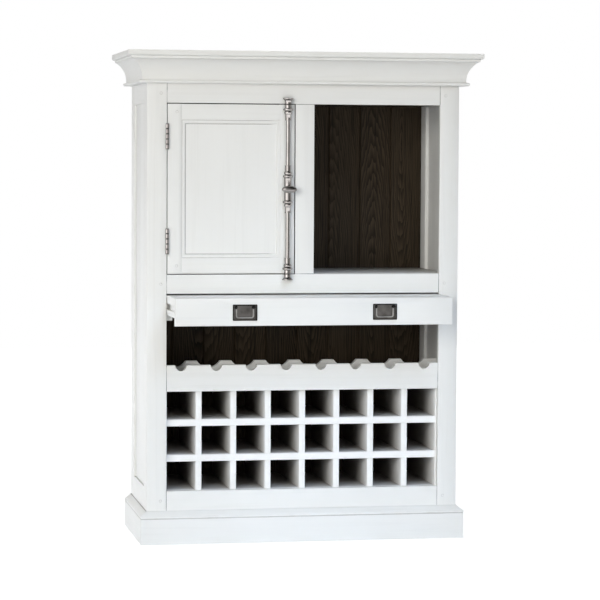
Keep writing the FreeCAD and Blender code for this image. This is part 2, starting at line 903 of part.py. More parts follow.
def rectangle(left, foot, across, high):
    """The four corners of an upright rectangle."""
    return ((left, foot), (left + across, foot), (left + across, foot + high), (left, foot + high))


# Moulding round the door panel: a frame with its inner front arris rounded over
door_bead = document.addObject("PartDesign::Body", "door_bead_frame")
bead_sketch = new_sketch(door_bead, "door_bead_section", "XZ")
draw(bead_sketch, rectangle(ZERO, ZERO, door_inner_width, door_inner_height))
bead_blank = door_bead.newObject("PartDesign::Pad", "door_bead_blank")
bead_blank.Profile = bead_sketch
bind(bead_blank, "Length", s.door_bead_height)
hole_sketch = new_sketch(door_bead, "door_bead_hole", "XZ")
bead_hole_width = door_inner_width - 2 * s.door_bead
bead_hole_height = door_inner_height - 2 * s.door_bead
draw(hole_sketch, rectangle(s.door_bead, s.door_bead, bead_hole_width, bead_hole_height))
bead_hole = door_bead.newObject("PartDesign::Pocket", "door_bead_opening")
bead_hole.Profile = hole_sketch
bead_hole.Reversed = True
bead_hole.Type = "ThroughAll"
document.recompute()
inner_arrises = []
for index, edge in enumerate(bead_hole.Shape.Edges, start=1):
    middle = edge.BoundBox.Center
    at_front = abs(middle.y + s.door_bead_height.value) < s.panel_play.value
    reach_x = abs(middle.x - door_inner_width.value / 2)
    reach_z = abs(middle.z - door_inner_height.value / 2)
    inside_x = reach_x < (door_inner_width.value - s.door_bead.value) / 2
    inside_z = reach_z < (door_inner_height.value - s.door_bead.value) / 2
    if at_front and inside_x and inside_z:
        inner_arrises.append(f"Edge{index}")
bead_round = door_bead.newObject("PartDesign::Fillet", "door_bead_round")
bead_round.Base = (bead_hole, inner_arrises)
bind(bead_round, "Radius", s.door_bead_round)
place(door_bead, door_inner_left, panel_y, door_inner_bottom)
subpart(door_bead, "door_panel_bead")

# Butt hinges: knuckles of the two leaves take turns along a pin of the frame leaf
knuckle_pitch = s.hinge_length / KNUCKLES
leaf_sets = {"frame": [], "door": []}
for number, level in enumerate(hinge_levels):
    for owner, leaf_x, first in (("frame", frame_leaf_x, 0), ("door", door_leaf_x, 1)):
        label = f"leaf_{owner}_{number}"
        pieces = [board(f"{label}_plate", s.leaf_board, s.leaf_width, s.hinge_length, leaf_x, front, level)]
        for index in range(first, KNUCKLES, 2):
            foot = level + index * knuckle_pitch + s.knuckle_play / 2
            high = knuckle_pitch - s.knuckle_play
            pieces.append(dowel(f"{label}_knuckle_{index}", s.barrel_radius, high, hinge_x, hinge_y, foot))
            pieces.append(
                board(f"{label}_web_{index}", s.leaf_board, s.barrel_standoff, high, leaf_x, hinge_y, foot)
            )
        pin_foot = level + s.knuckle_play / 2
        pin_length = s.hinge_length - s.knuckle_play
        if owner == "frame":
            pieces.append(dowel(f"{label}_pin", s.hinge_pin_radius, pin_length, hinge_x, hinge_y, pin_foot))
            leaf_sets[owner].append(fused(label, pieces))
            continue
        bore_radius = s.hinge_pin_radius + s.pin_play
        bore = dowel(f"{label}_bore", bore_radius, pin_length, hinge_x, hinge_y, pin_foot)
        leaf_sets[owner].append(carved(f"{label}_cut", fused(f"{label}_blank", pieces), [bore]))
subpart(grouped("frame_leaf_pair", leaf_sets["frame"]), "hinge_frame_leaves")
subpart(grouped("door_leaf_pair", leaf_sets["door"]), "hinge_door_leaves")

# Sliding bolt: turned case and guides on the lock stile, keepers on the rails
bolt_x = door_right - s.door_stile / 2
bolt_y = front - s.bolt_standoff
bolt_z = door_bottom + door_height / 2
rod_bore = s.rod_radius + s.rod_play


def turned_head(start):
    """Ring, swelling and collar from a level upwards, as half a section."""
    ring_top = start + s.ring_height
    swell_top = ring_top + s.swell_height
    return [
        (s.ring_radius, start),
        (s.ring_radius, ring_top),
        (s.swell_radius, ring_top),
        (s.swell_radius, swell_top),
        (s.collar_radius, swell_top),
        (s.collar_radius, swell_top + s.collar_height),
    ]


def upside_down(corners):
    """The same half section met from above, for the lower end of a piece."""
    return [(across, -up) for across, up in corners[::-1]]


def flat_back(name, middle_z, half_height):
    """A cutter behind the face that a turned piece is screwed to."""
    across = 2 * s.keeper_radius + 2 * s.overrun
    high = 2 * half_height + 2 * s.overrun
    low_z = middle_z - half_height - s.overrun
    return board(name, across, s.overrun, high, bolt_x - across / 2, front, low_z)


case_head = turned_head(s.case_barrel_half)
case_half = s.case_barrel_half + s.ring_height + s.swell_height + s.collar_height
case_section = [(rod_bore, -case_half)] + upside_down(case_head)
case_section += [(s.case_barrel_radius, -s.case_barrel_half), (s.case_barrel_radius, s.case_barrel_half)]
case_section += case_head + [(rod_bore, case_half)]
case_blank = place(turned("case_blank", case_section), bolt_x, bolt_y, bolt_z)
chamber = board(
    "case_chamber",
    2 * s.chamber_half_width,
    2 * s.chamber_half_depth,
    2 * s.chamber_half_length,
    bolt_x - s.chamber_half_width,
    bolt_y - s.chamber_half_depth,
    bolt_z - s.chamber_half_length,
)
spindle_hole = to_front(
    "case_spindle_hole", s.spindle_radius + s.spindle_play, s.overrun, bolt_x, bolt_y, bolt_z
)
case_flat = flat_back("case_flat", bolt_z, case_half)
subpart(carved("case_cut", case_blank, [chamber, spindle_hole, case_flat]), "bolt_case")

guide_height = s.guide_neck_height + s.ring_height + s.swell_height + s.collar_height
guide_section = [
    (rod_bore, ZERO),
    (s.guide_neck_radius, ZERO),
    (s.guide_neck_radius, s.guide_neck_height),
]
guide_section += turned_head(s.guide_neck_height) + [(rod_bore, guide_height)]
keeper_bore = s.rod_radius + s.keeper_play
keeper_section = [
    (keeper_bore, ZERO),
    (s.keeper_neck_radius, ZERO),
    (s.keeper_neck_radius, s.keeper_neck_height),
    (s.keeper_radius, s.keeper_neck_height + s.keeper_flare_height),
    (s.keeper_radius, s.keeper_height),
    (ZERO, s.keeper_height),
    (ZERO, s.keeper_bore_depth),
    (keeper_bore, s.keeper_bore_depth),
]
bolt_ends = (
    ("upper", 180, 0, door_top - s.guide_inset, upper_top + s.keeper_gap),
    ("lower", 0, 180, door_bottom + s.guide_inset, upper_bottom - s.keeper_gap),
)
guides = []
keepers = []
for end, guide_turn, keeper_turn, guide_z, keeper_z in bolt_ends:
    guide = place(turned(f"guide_{end}", guide_section), bolt_x, bolt_y, guide_z, (0, 1, 0), guide_turn)
    flat = flat_back(f"guide_{end}_flat", guide_z, guide_height)
    guides.append(carved(f"guide_{end}_cut", guide, [flat]))
    keeper = place(turned(f"keeper_{end}", keeper_section), bolt_x, bolt_y, keeper_z, (0, 1, 0), keeper_turn)
    flat = flat_back(f"keeper_{end}_flat", keeper_z, s.keeper_height)
    keepers.append(carved(f"keeper_{end}_cut", keeper, [flat]))
subpart(grouped("guide_pair", guides), "bolt_guides")
subpart(grouped("keeper_pair", keepers), "bolt_keepers")

# Rods: each carries a short rack that meshes with one side of the pinion
TOOTH_SHARE = 0.4
FLANK_SHARE = 0.36
tooth_pitch = 2 * math.pi / PINION_TEETH * s.pinion_radius
tooth_half = TOOTH_SHARE / 2 * tooth_pitch
root_half = tooth_half + FLANK_SHARE * s.tooth_root
tip_half = tooth_half - FLANK_SHARE * s.tooth_rise
rod_length = door_height / 2 - s.rod_tip_inset - s.rod_inner_end
rack_root = s.pinion_radius + s.tooth_root
rack_tip = s.pinion_radius - s.tooth_rise
for end, turn in (("upper", 0), ("lower", 180)):
    rod = document.addObject("PartDesign::Body", f"rod_{end}")
    shank = rod.newObject("PartDesign::AdditiveCylinder", f"rod_{end}_shank")
    bind(shank, "Radius", s.rod_radius)
    bind(shank, "Height", rod_length)
    bind(shank, "Placement.Base.z", s.rod_inner_end)
    bar = rod.newObject("PartDesign::AdditiveBox", f"rod_{end}_bar")
    bind(bar, "Length", s.rack_back - rack_tip)
    bind(bar, "Width", s.pinion_width)
    bind(bar, "Height", s.rack_top_end - s.rack_solid_start)
    bind(bar, "Placement.Base.x", -s.rack_back)
    bind(bar, "Placement.Base.y", -s.pinion_width / 2)
    bind(bar, "Placement.Base.z", s.rack_solid_start)
    rack = rod.newObject("PartDesign::AdditiveBox", f"rod_{end}_rack")
    bind(rack, "Length", s.rack_back - rack_root)
    bind(rack, "Width", s.pinion_width)
    bind(rack, "Height", s.rack_solid_start + s.rack_low_end)
    bind(rack, "Placement.Base.x", -s.rack_back)
    bind(rack, "Placement.Base.y", -s.pinion_width / 2)
    bind(rack, "Placement.Base.z", -s.rack_low_end)
    tooth_sketch = new_sketch(rod, f"rod_{end}_tooth_section", "XZ")
    tooth_z = tooth_pitch / 2
    tooth_corners = (
        (-s.rack_back, tooth_z - root_half),
        (-rack_root, tooth_z - root_half),
        (-rack_tip, tooth_z - tip_half),
        (-rack_tip, tooth_z + tip_half),
        (-rack_root, tooth_z + root_half),
        (-s.rack_back, tooth_z + root_half),
    )
    draw(tooth_sketch, tooth_corners)
    bind(tooth_sketch, "AttachmentOffset.Base.z", -s.pinion_width / 2)
    tooth = rod.newObject("PartDesign::Pad", f"rod_{end}_tooth")
    tooth.Profile = tooth_sketch
    bind(tooth, "Length", s.pinion_width)
    document.recompute()
    teeth = rod.newObject("PartDesign::LinearPattern", f"rod_{end}_teeth")
    teeth.Originals = [tooth]
    teeth.Direction = (tooth_sketch, ["V_Axis"])
    teeth.Reversed = True
    teeth.Occurrences = RACK_TEETH
    bind(teeth, "Length", (RACK_TEETH - 1) * tooth_pitch)
    rod.Tip = teeth
    place(rod, bolt_x, bolt_y, bolt_z, (0, 1, 0), turn)
    subpart(rod, f"bolt_rod_{end}")

# Pinion on the spindle of the knob
pinion = document.addObject("PartDesign::Body", "pinion_body")
hub_sketch = new_sketch(pinion, "pinion_hub_section", "XZ")
draw_circle(hub_sketch, s.pinion_radius - s.tooth_root)
draw_circle(hub_sketch, s.spindle_radius + s.pinion_play)
hub = pinion.newObject("PartDesign::Pad", "pinion_hub")
hub.Profile = hub_sketch
bind(hub, "Length", s.pinion_width)
pinion_sketch = new_sketch(pinion, "pinion_tooth_section", "XZ")
hub_middle = (s.spindle_radius + s.pinion_radius - s.tooth_root) / 2
pinion_corners = (
    (hub_middle, -root_half),
    (s.pinion_radius - s.tooth_root, -root_half),
    (s.pinion_radius + s.tooth_rise, -tip_half),
    (s.pinion_radius + s.tooth_rise, tip_half),
    (s.pinion_radius - s.tooth_root, root_half),
    (hub_middle, root_half),
)
draw(pinion_sketch, pinion_corners)
pinion_tooth = pinion.newObject("PartDesign::Pad", "pinion_tooth")
pinion_tooth.Profile = pinion_sketch
bind(pinion_tooth, "Length", s.pinion_width)
document.recompute()
pinion_teeth = pinion.newObject("PartDesign::PolarPattern", "pinion_teeth")
pinion_teeth.Originals = [pinion_tooth]
pinion_teeth.Axis = (hub_sketch, ["N_Axis"])
pinion_teeth.Angle = 360
pinion_teeth.Occurrences = PINION_TEETH
pinion.Tip = pinion_teeth
place(pinion, bolt_x, bolt_y + s.pinion_width / 2, bolt_z)
subpart(pinion, "bolt_pinion")


def ring_of_corners(sides, across, up):
    """Corners spaced evenly round an oval."""
    turns = [2 * math.pi * (index + 1 / 2) / sides for index in range(sides)]
    return [(math.cos(turn) * across, math.sin(turn) * up) for turn in turns]


# Oval turn knob with its neck and spindle
knob_y = front - s.knob_reach
knob_oval = document.addObject("PartDesign::Body", "knob_oval")
knob_sketch = new_sketch(knob_oval, "knob_outline", "XZ")
draw(knob_sketch, ring_of_corners(KNOB_SIDES, s.knob_half_length, s.knob_half_height))
knob_blank = knob_oval.newObject("PartDesign::Pad", "knob_blank")
knob_blank.Profile = knob_sketch
bind(knob_blank, "Length", 2 * s.knob_half_depth)
document.recompute()
knob_edges = []
for index, edge in enumerate(knob_blank.Shape.Edges, start=1):
    if edge.BoundBox.YLength < s.knob_half_depth.value:
        knob_edges.append(f"Edge{index}")
knob_arris = knob_oval.newObject("PartDesign::Chamfer", "knob_arris")
knob_arris.Base = (knob_blank, knob_edges)
bind(knob_arris, "Size", s.knob_arris)
place(knob_oval, bolt_x, knob_y + s.knob_half_depth, bolt_z)
neck_back = bolt_y - s.case_barrel_radius - s.knob_clearance
knob_neck = to_front("knob_neck", s.knob_neck_radius, neck_back - knob_y, bolt_x, neck_back, bolt_z)
spindle_back = bolt_y + s.pinion_width / 2
spindle = to_front("knob_spindle", s.spindle_radius, spindle_back - knob_y, bolt_x, spindle_back, bolt_z)
subpart(fused("knob", [knob_oval, knob_neck, spindle]), "bolt_knob")

# Pull-out tray: grooved sides ride on runners fixed to the side frames
tray_half = half_opening - s.tray_play
tray_inner_half = tray_half - s.inner_board
tray_head = bay_top - s.tray_gap
tray_side_foot = tray_head - s.tray_side_height
tray_front_y = front - s.tray_pull
tray_side_y = tray_front_y + s.frame_thickness
groove_head = tray_head - s.groove_drop
groove_foot = groove_head - s.groove_height
tray_sides = []
for side, low_x, groove_x in (
    ("left", -tray_half, -(tray_half + s.overrun)),
    ("right", tray_inner_half, tray_half - s.groove_depth),
):
    blank = board(
        f"tray_{side}_blank",
        s.inner_board,
        s.tray_depth,
        s.tray_side_height,
        low_x,
        tray_side_y,
        tray_side_foot,
    )
    groove = board(
        f"tray_{side}_groove",
        s.groove_depth + s.overrun,
        s.tray_depth + s.overrun,
        s.groove_height,
        groove_x,
        tray_side_y,
        groove_foot,
    )
    tray_sides.append(carved(f"tray_{side}_cut", blank, [groove]))
subpart(grouped("tray_side_pair", tray_sides), "tray_sides")
tray_lid = board(
    "tray_lid",
    2 * tray_inner_half,
    s.tray_depth,
    s.tray_top_board,
    -tray_inner_half,
    tray_side_y,
    tray_head - s.tray_top_board,
)
subpart(tray_lid, "tray_top")
tray_tail = board(
    "tray_tail",
    2 * tray_inner_half,
    s.inner_board,
    s.tray_side_height - s.tray_top_board,
    -tray_inner_half,
    tray_side_y + s.tray_depth - s.inner_board,
    tray_side_foot,
)
subpart(tray_tail, "tray_back")

runner_foot = tray_side_foot - s.runner_play - s.ledge_board
ledge_head = tray_side_foot - s.runner_play
tongue_foot = groove_foot + s.runner_play
tongue_head = groove_head - s.runner_play
tongue_reach = tray_half - s.groove_depth + s.tongue_room
web_half = tray_half + s.tray_play
runner_section = (
    (inside_half, runner_foot),
    (inside_half, groove_head + s.runner_head),
    (web_half, groove_head + s.runner_head),
    (web_half, tongue_head),
    (tongue_reach, tongue_head),
    (tongue_reach, tongue_foot),
    (web_half, tongue_foot),
    (web_half, ledge_head),
    (tray_inner_half, ledge_head),
    (tray_inner_half, runner_foot),
)
runners = []
for side, sign in (("left", -1), ("right", 1)):
    corners = [(sign * across, up) for across, up in runner_section]
    runner = run(f"runner_{side}", "XZ", corners, inside_depth)
    runners.append(place(runner, ZERO, back_face, ZERO))
subpart(grouped("runner_pair", runners), "tray_runners")

# Pulls: a plate with a sunk cup in the tray front, and a bail that hangs in it
pull_z = tray_head - s.tray_front_height + s.pull_rise
pivot_z = pull_z + s.pivot_rise
plate_y = tray_front_y - s.pull_plate
pivot_y = plate_y + s.pivot_depth
half_span = s.bail_span / 2
tip_half_span = s.cup_width / 2 + s.cup_wall - s.bail_tip_room
pivot_half = s.cup_width / 2 + s.cup_wall + s.bail_tip_room
front_blank = board(
    "tray_face_blank",
    2 * tray_half,
    s.frame_thickness,
    s.tray_front_height,
    -tray_half,
    tray_front_y,
    tray_head - s.tray_front_height,
)


def centred(name, across, deep, high, middle_x, low_y):
    """A block centred on a pull."""
    return board(name, across, deep, high, middle_x - across / 2, low_y, pull_z - high / 2)


cup_mortises = []
pull_plates = []
cup_outer_width = s.cup_width + 2 * s.cup_wall
cup_outer_height = s.cup_height + 2 * s.cup_wall
for side, sign in (("left", -1), ("right", 1)):
    middle_x = sign * s.pull_spread / 2
    cup_mortises.append(
        centred(
            f"cup_mortise_{side}",
            cup_outer_width + 2 * s.cup_play,
            s.cup_depth + s.cup_wall - s.pull_plate + s.cup_play + s.overrun,
            cup_outer_height + 2 * s.cup_play,
            middle_x,
            tray_front_y - s.overrun,
        )
    )
    plate = centred(f"plate_{side}_rim", s.pull_width, s.pull_plate, s.pull_height, middle_x, plate_y)
    cup = centred(
        f"plate_{side}_cup", cup_outer_width, s.cup_depth + s.cup_wall, cup_outer_height, middle_x, plate_y
    )
    hollow = centred(
        f"plate_{side}_hollow",
        s.cup_width,
        s.cup_depth + s.overrun,
        s.cup_height,
        middle_x,
        plate_y - s.overrun,
    )
    pivot = dowel(
        f"plate_{side}_pivot",
        s.bail_radius + s.bail_play,
        2 * pivot_half,
        middle_x - pivot_half,
        pivot_y,
        pivot_z,
        (0, 1, 0),
        90,
    )
    pull_plates.append(carved(f"plate_{side}_cut", fused(f"plate_{side}", [plate, cup]), [hollow, pivot]))

    bail = document.addObject("PartDesign::Body", f"bail_{side}")
    path = new_sketch(bail, f"bail_{side}_path", "XZ")
    right_half = [
        (half_span - s.bail_corner, -s.bail_drop),
        (half_span, s.bail_corner - s.bail_drop),
        (half_span, ZERO),
        (tip_half_span, ZERO),
    ]
    left_half = [(-across, up) for across, up in right_half[::-1]]
    draw(path, left_half + right_half, closed=False)
    wire = new_sketch(bail, f"bail_{side}_wire", "YZ")
    bind(wire, "AttachmentOffset.Base.z", -tip_half_span)
    draw(wire, ring_of_corners(WIRE_SIDES, s.bail_radius, s.bail_radius))
    bent = bail.newObject("PartDesign::AdditivePipe", f"bail_{side}_bent")
    bent.Profile = wire
    bent.Transition = "Right corner"
    document.recompute()
    bent.Spine = (path, [f"Edge{number}" for number in range(1, path.GeometryCount + 1)])
    place(bail, middle_x, pivot_y, pivot_z)
    subpart(bail, f"pull_bail_{side}")
subpart(carved("tray_face_cut", front_blank, cup_mortises), "tray_front")
subpart(grouped("plate_pair", pull_plates), "pull_plates")

# Check and export
document.recompute()
for thing in document.Objects:
    for word in ("Invalid", "Error"):
        if word in thing.State:
            raise RuntimeError(f"{thing.Name} is {thing.State}")
for thing in subparts:
    shape = thing.Shape
    if shape.isNull() or not shape.isValid() or not shape.Solids:
        raise RuntimeError(f"{thing.Label} has no valid solid")
    shape.exportStep(f"parts/{thing.Label}.step")
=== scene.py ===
import bmesh
import bpy
import json
import math
from mathutils import Matrix, Vector

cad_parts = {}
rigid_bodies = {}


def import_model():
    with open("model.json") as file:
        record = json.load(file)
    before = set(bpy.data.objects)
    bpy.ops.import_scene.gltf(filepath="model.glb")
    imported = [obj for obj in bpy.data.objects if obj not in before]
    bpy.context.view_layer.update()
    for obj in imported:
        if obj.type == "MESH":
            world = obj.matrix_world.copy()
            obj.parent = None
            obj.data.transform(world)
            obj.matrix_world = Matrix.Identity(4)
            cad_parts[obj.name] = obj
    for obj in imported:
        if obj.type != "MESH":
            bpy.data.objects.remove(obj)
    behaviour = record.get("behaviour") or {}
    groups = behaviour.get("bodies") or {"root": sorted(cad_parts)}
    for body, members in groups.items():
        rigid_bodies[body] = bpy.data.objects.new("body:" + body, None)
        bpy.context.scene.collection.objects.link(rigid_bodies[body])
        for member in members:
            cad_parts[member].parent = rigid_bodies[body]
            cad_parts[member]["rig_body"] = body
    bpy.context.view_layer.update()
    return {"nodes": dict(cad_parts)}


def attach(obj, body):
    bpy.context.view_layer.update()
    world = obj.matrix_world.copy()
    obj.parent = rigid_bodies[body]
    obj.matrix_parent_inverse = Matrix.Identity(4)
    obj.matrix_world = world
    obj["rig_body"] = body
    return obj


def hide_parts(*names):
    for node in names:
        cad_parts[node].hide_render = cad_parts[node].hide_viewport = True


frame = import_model()

# SIDE FRAMES
# Grooved stiles and rails of painted timber round a thin panel, one frame at each end.
# The joints are pegged, the arrises eased with sandpaper, and the paint shows some grain.


def add(tree, kind, settings=None, **inputs):
    """Adds a shader node, sets its options, and fills or links its sockets by name or number."""
    made = tree.nodes.new(kind)
    for option, value in (settings or {}).items():
        setattr(made, option, value)
    for label, value in inputs.items():
        key = int(label[1:]) if label[1:].isdigit() else label.replace("_", " ")
        if isinstance(value, bpy.types.NodeSocket):
            tree.links.new(value, made.inputs[key])
        else:
            made.inputs[key].default_value = value
    return made


def new_group(name, inputs, outputs):
    """An empty shader group with its named sockets."""
    group = bpy.data.node_groups.new(name, "ShaderNodeTree")
    for side, sockets in (("INPUT", inputs), ("OUTPUT", outputs)):
        for label, kind in sockets:
            group.interface.new_socket(name=label, in_out=side, socket_type=f"NodeSocket{kind}")
    return group, group.nodes.new("NodeGroupInput"), group.nodes.new("NodeGroupOutput")


def use_group(tree, group, **inputs):
    """One placing of a shader group in a material."""
    return add(tree, "ShaderNodeGroup", {"node_tree": group}, **inputs)


def mixed(tree, share, first, second):
    """A mix of two colours by a share."""
    return add(tree, "ShaderNodeMix", {"data_type": "RGBA"}, _0=share, _6=first, _7=second).outputs[2]


def ranged(tree, value, low, high, to_low, to_high):
    """A value carried from one range to another, held at its ends."""
    return add(tree, "ShaderNodeMapRange", _0=value, _1=low, _2=high, _3=to_low, _4=to_high).outputs[0]


def sums(tree, operation, first, second=0.0, third=0.0):
    """One step of arithmetic on values that change over the surface."""
    return add(tree, "ShaderNodeMath", {"operation": operation}, _0=first, _1=second, _2=third).outputs[0]


# Grain that shows through a coat: broad figure and fine pores, drawn out along one axis
grain, grain_in, grain_out = new_group(
    "timber_grain", [("Coords", "Vector")], [("Figure", "Float"), ("Pores", "Float")]
)
coords = grain_in.outputs["Coords"]
figure = add(grain, "ShaderNodeTexNoise", Vector=coords, Scale=1.0, Detail=4.0, Distortion=0.6)
closer = add(grain, "ShaderNodeVectorMath", {"operation": "MULTIPLY"}, _0=coords, _1=(5.0, 5.0, 5.0))
pores = add(grain, "ShaderNodeTexNoise", Vector=closer.outputs[0], Scale=1.0, Detail=3.0, Roughness=0.7)
grain.links.new(figure.outputs["Fac"], grain_out.inputs["Figure"])
grain.links.new(pores.outputs["Fac"], grain_out.inputs["Pores"])

# Rubbing on eased arrises, patchy along their length
wear, wear_in, wear_out = new_group(
    "arris_wear", [("Coords", "Vector"), ("Reach", "Float")], [("Rubbed", "Float")]
)
coords = wear_in.outputs["Coords"]
arris = add(wear, "ShaderNodeAttribute", {"attribute_name": "arris"})
patches = add(wear, "ShaderNodeTexNoise", Vector=coords, Scale=26.0, Detail=5.0, Roughness=0.65)
patchy = ranged(wear, patches.outputs["Fac"], 0.46, 0.72, 0.0, 1.0)
rubbed = sums(wear, "MULTIPLY", arris.outputs["Fac"], patchy)
wear.links.new(sums(wear, "MULTIPLY", rubbed, wear_in.outputs["Reach"]), wear_out.inputs["Rubbed"])


def new_material(name):
    """A material with only its shader, and the object's own coordinates."""
    made = bpy.data.materials.new(name)
    made.use_nodes = True
    tree = made.node_tree
    shader = tree.nodes["Principled BSDF"]
    place = add(tree, "ShaderNodeTexCoord").outputs["Object"]
    return made, tree, shader, place


GRAIN_STRETCH = {"X": (2.2, 70.0, 70.0), "Y": (70.0, 2.2, 70.0), "Z": (70.0, 70.0, 2.2)}
PAINT_PALE = (0.84, 0.838, 0.822, 1.0)
PAINT_DEEP = (0.76, 0.757, 0.738, 1.0)
PAINT_RUBBED = (0.55, 0.52, 0.47, 1.0)


def painted(name, along, lining=None):
    """Satin white paint brushed on timber whose grain runs along one axis."""
    made, tree, shader, place = new_material(name)
    drawn = add(tree, "ShaderNodeMapping", Vector=place, Scale=GRAIN_STRETCH[along]).outputs[0]
    lines = use_group(tree, grain, Coords=drawn)
    clouds = add(tree, "ShaderNodeTexNoise", Vector=place, Scale=5.0, Detail=4.0, Roughness=0.6)
    tone = mixed(tree, ranged(tree, clouds.outputs["Fac"], 0.3, 0.75, 0.0, 0.3), PAINT_PALE, PAINT_DEEP)
    lined = mixed(tree, ranged(tree, lines.outputs["Figure"], 0.52, 0.8, 0.0, 0.5), tone, PAINT_DEEP)
    rubbed = use_group(tree, wear, Coords=place, Reach=0.5).outputs["Rubbed"]
    finish = mixed(tree, rubbed, lined, PAINT_RUBBED)
    if lining:
        finish = lining(tree, place, finish)
    tree.links.new(finish, shader.inputs["Base Color"])
    tree.links.new(ranged(tree, lines.outputs["Pores"], 0.3, 0.7, 0.36, 0.5), shader.inputs["Roughness"])
    raised = add(tree, "ShaderNodeBump", Strength=0.22, Distance=0.0006, Height=lines.outputs["Pores"])
    tree.links.new(raised.outputs["Normal"], shader.inputs["Normal"])
    shader.inputs["Specular IOR Level"].default_value = 0.4
    return made


paint = {along: painted(f"white_paint_{along.lower()}", along) for along in "XYZ"}


def only(piece):
    """Makes one piece the only one selected."""
    bpy.ops.object.select_all(action="DESELECT")
    piece.select_set(True)
    bpy.context.view_layer.objects.active = piece


def finish_piece(piece, material, body, slot, *nodes):
    """Gives a modelled piece its material, hangs it on its body and hides the CAD nodes that it replaces."""
    piece.data.materials.clear()
    piece.data.materials.append(material)
    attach(piece, body)
    if nodes:
        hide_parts(*nodes)
    return piece


def closed(smooth):
    """Ends the editing of a piece and smooths its shading up to an angle in degrees."""
    bpy.ops.object.mode_set(mode="OBJECT")
    bpy.ops.object.shade_smooth_by_angle(angle=math.radians(smooth))


FAR = 9.0
FINE_ARRIS = 0.0008


def eased(node, width, along, material, slot="white_paint", high=FAR, smooth=40):
    """A copy of a piece, rounded over at its arrises along the named axes, at all of them or at none."""
    source = frame["nodes"][node]
    piece = bpy.data.objects.new(f"{node}_eased", source.data.copy())
    bpy.context.scene.collection.objects.link(piece)
    only(piece)
    bpy.ops.mesh.customdata_custom_splitnormals_clear()
    bpy.ops.object.mode_set(mode="EDIT")
    bpy.ops.mesh.select_all(action="SELECT")
    bpy.ops.mesh.remove_doubles(threshold=0.00001)
    bpy.ops.mesh.dissolve_limited(angle_limit=math.radians(0.5))
    bpy.ops.mesh.select_mode(type="EDGE")
    bpy.ops.mesh.select_all(action="DESELECT")
    mesh = bmesh.from_edit_mesh(piece.data)
    for edge in mesh.edges:
        run = (edge.verts[1].co - edge.verts[0].co).normalized()
        middle = (edge.verts[1].co + edge.verts[0].co) / 2
        follows = along == "all" or any(abs(run["XYZ".index(letter)]) > 0.999 for letter in along)
        sharp = len(edge.link_faces) == 2 and edge.is_convex and edge.calc_face_angle() > 0.6
        edge.select_set(bool(follows and sharp and middle.y < high))
    chosen = any(edge.select for edge in mesh.edges)
    bmesh.update_edit_mesh(piece.data)
    if chosen:
        bpy.ops.mesh.bevel(offset=width, segments=2, profile=0.5, affect="EDGES", clamp_overlap=True)
    mesh = bmesh.from_edit_mesh(piece.data)
    layer = mesh.faces.layers.float.new("arris")
    for face in mesh.faces:
        tilted = max(abs(part) for part in face.normal) < 0.98
        face[layer] = 1.0 if chosen and face.select and tilted else 0.0
    bmesh.update_edit_mesh(piece.data)
    closed(smooth)
    return finish_piece(piece, material, source["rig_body"], slot, node)


for node in ("side_front_stiles", "side_rear_stiles"):
    eased(node, FINE_ARRIS, "Z", paint["Z"])
for node in ("side_top_rails", "side_bottom_rails"):
    eased(node, FINE_ARRIS, "Y", paint["Y"])
for node in ("side_panel_left", "side_panel_right"):
    eased(node, FINE_ARRIS, "Z", paint["Z"])

# BACK
# Nine upright boards of open-grained timber with a V between neighbours, stained nearly black.
# They close the back and are seen through the open bays, above a painted foot rail.
STAIN_DARK = (0.009, 0.0066, 0.0042, 1.0)
STAIN_MIDDLE = (0.042, 0.030, 0.0185, 1.0)
# The lightest stain is also the colour of the painted shade deep in the bays and pigeonholes.
STAIN_LIGHT_AND_DEPTH_SHADE = (0.075, 0.053, 0.032, 1.0)
BOARDS = 9
BOARD_WIDTH = 0.896 / BOARDS


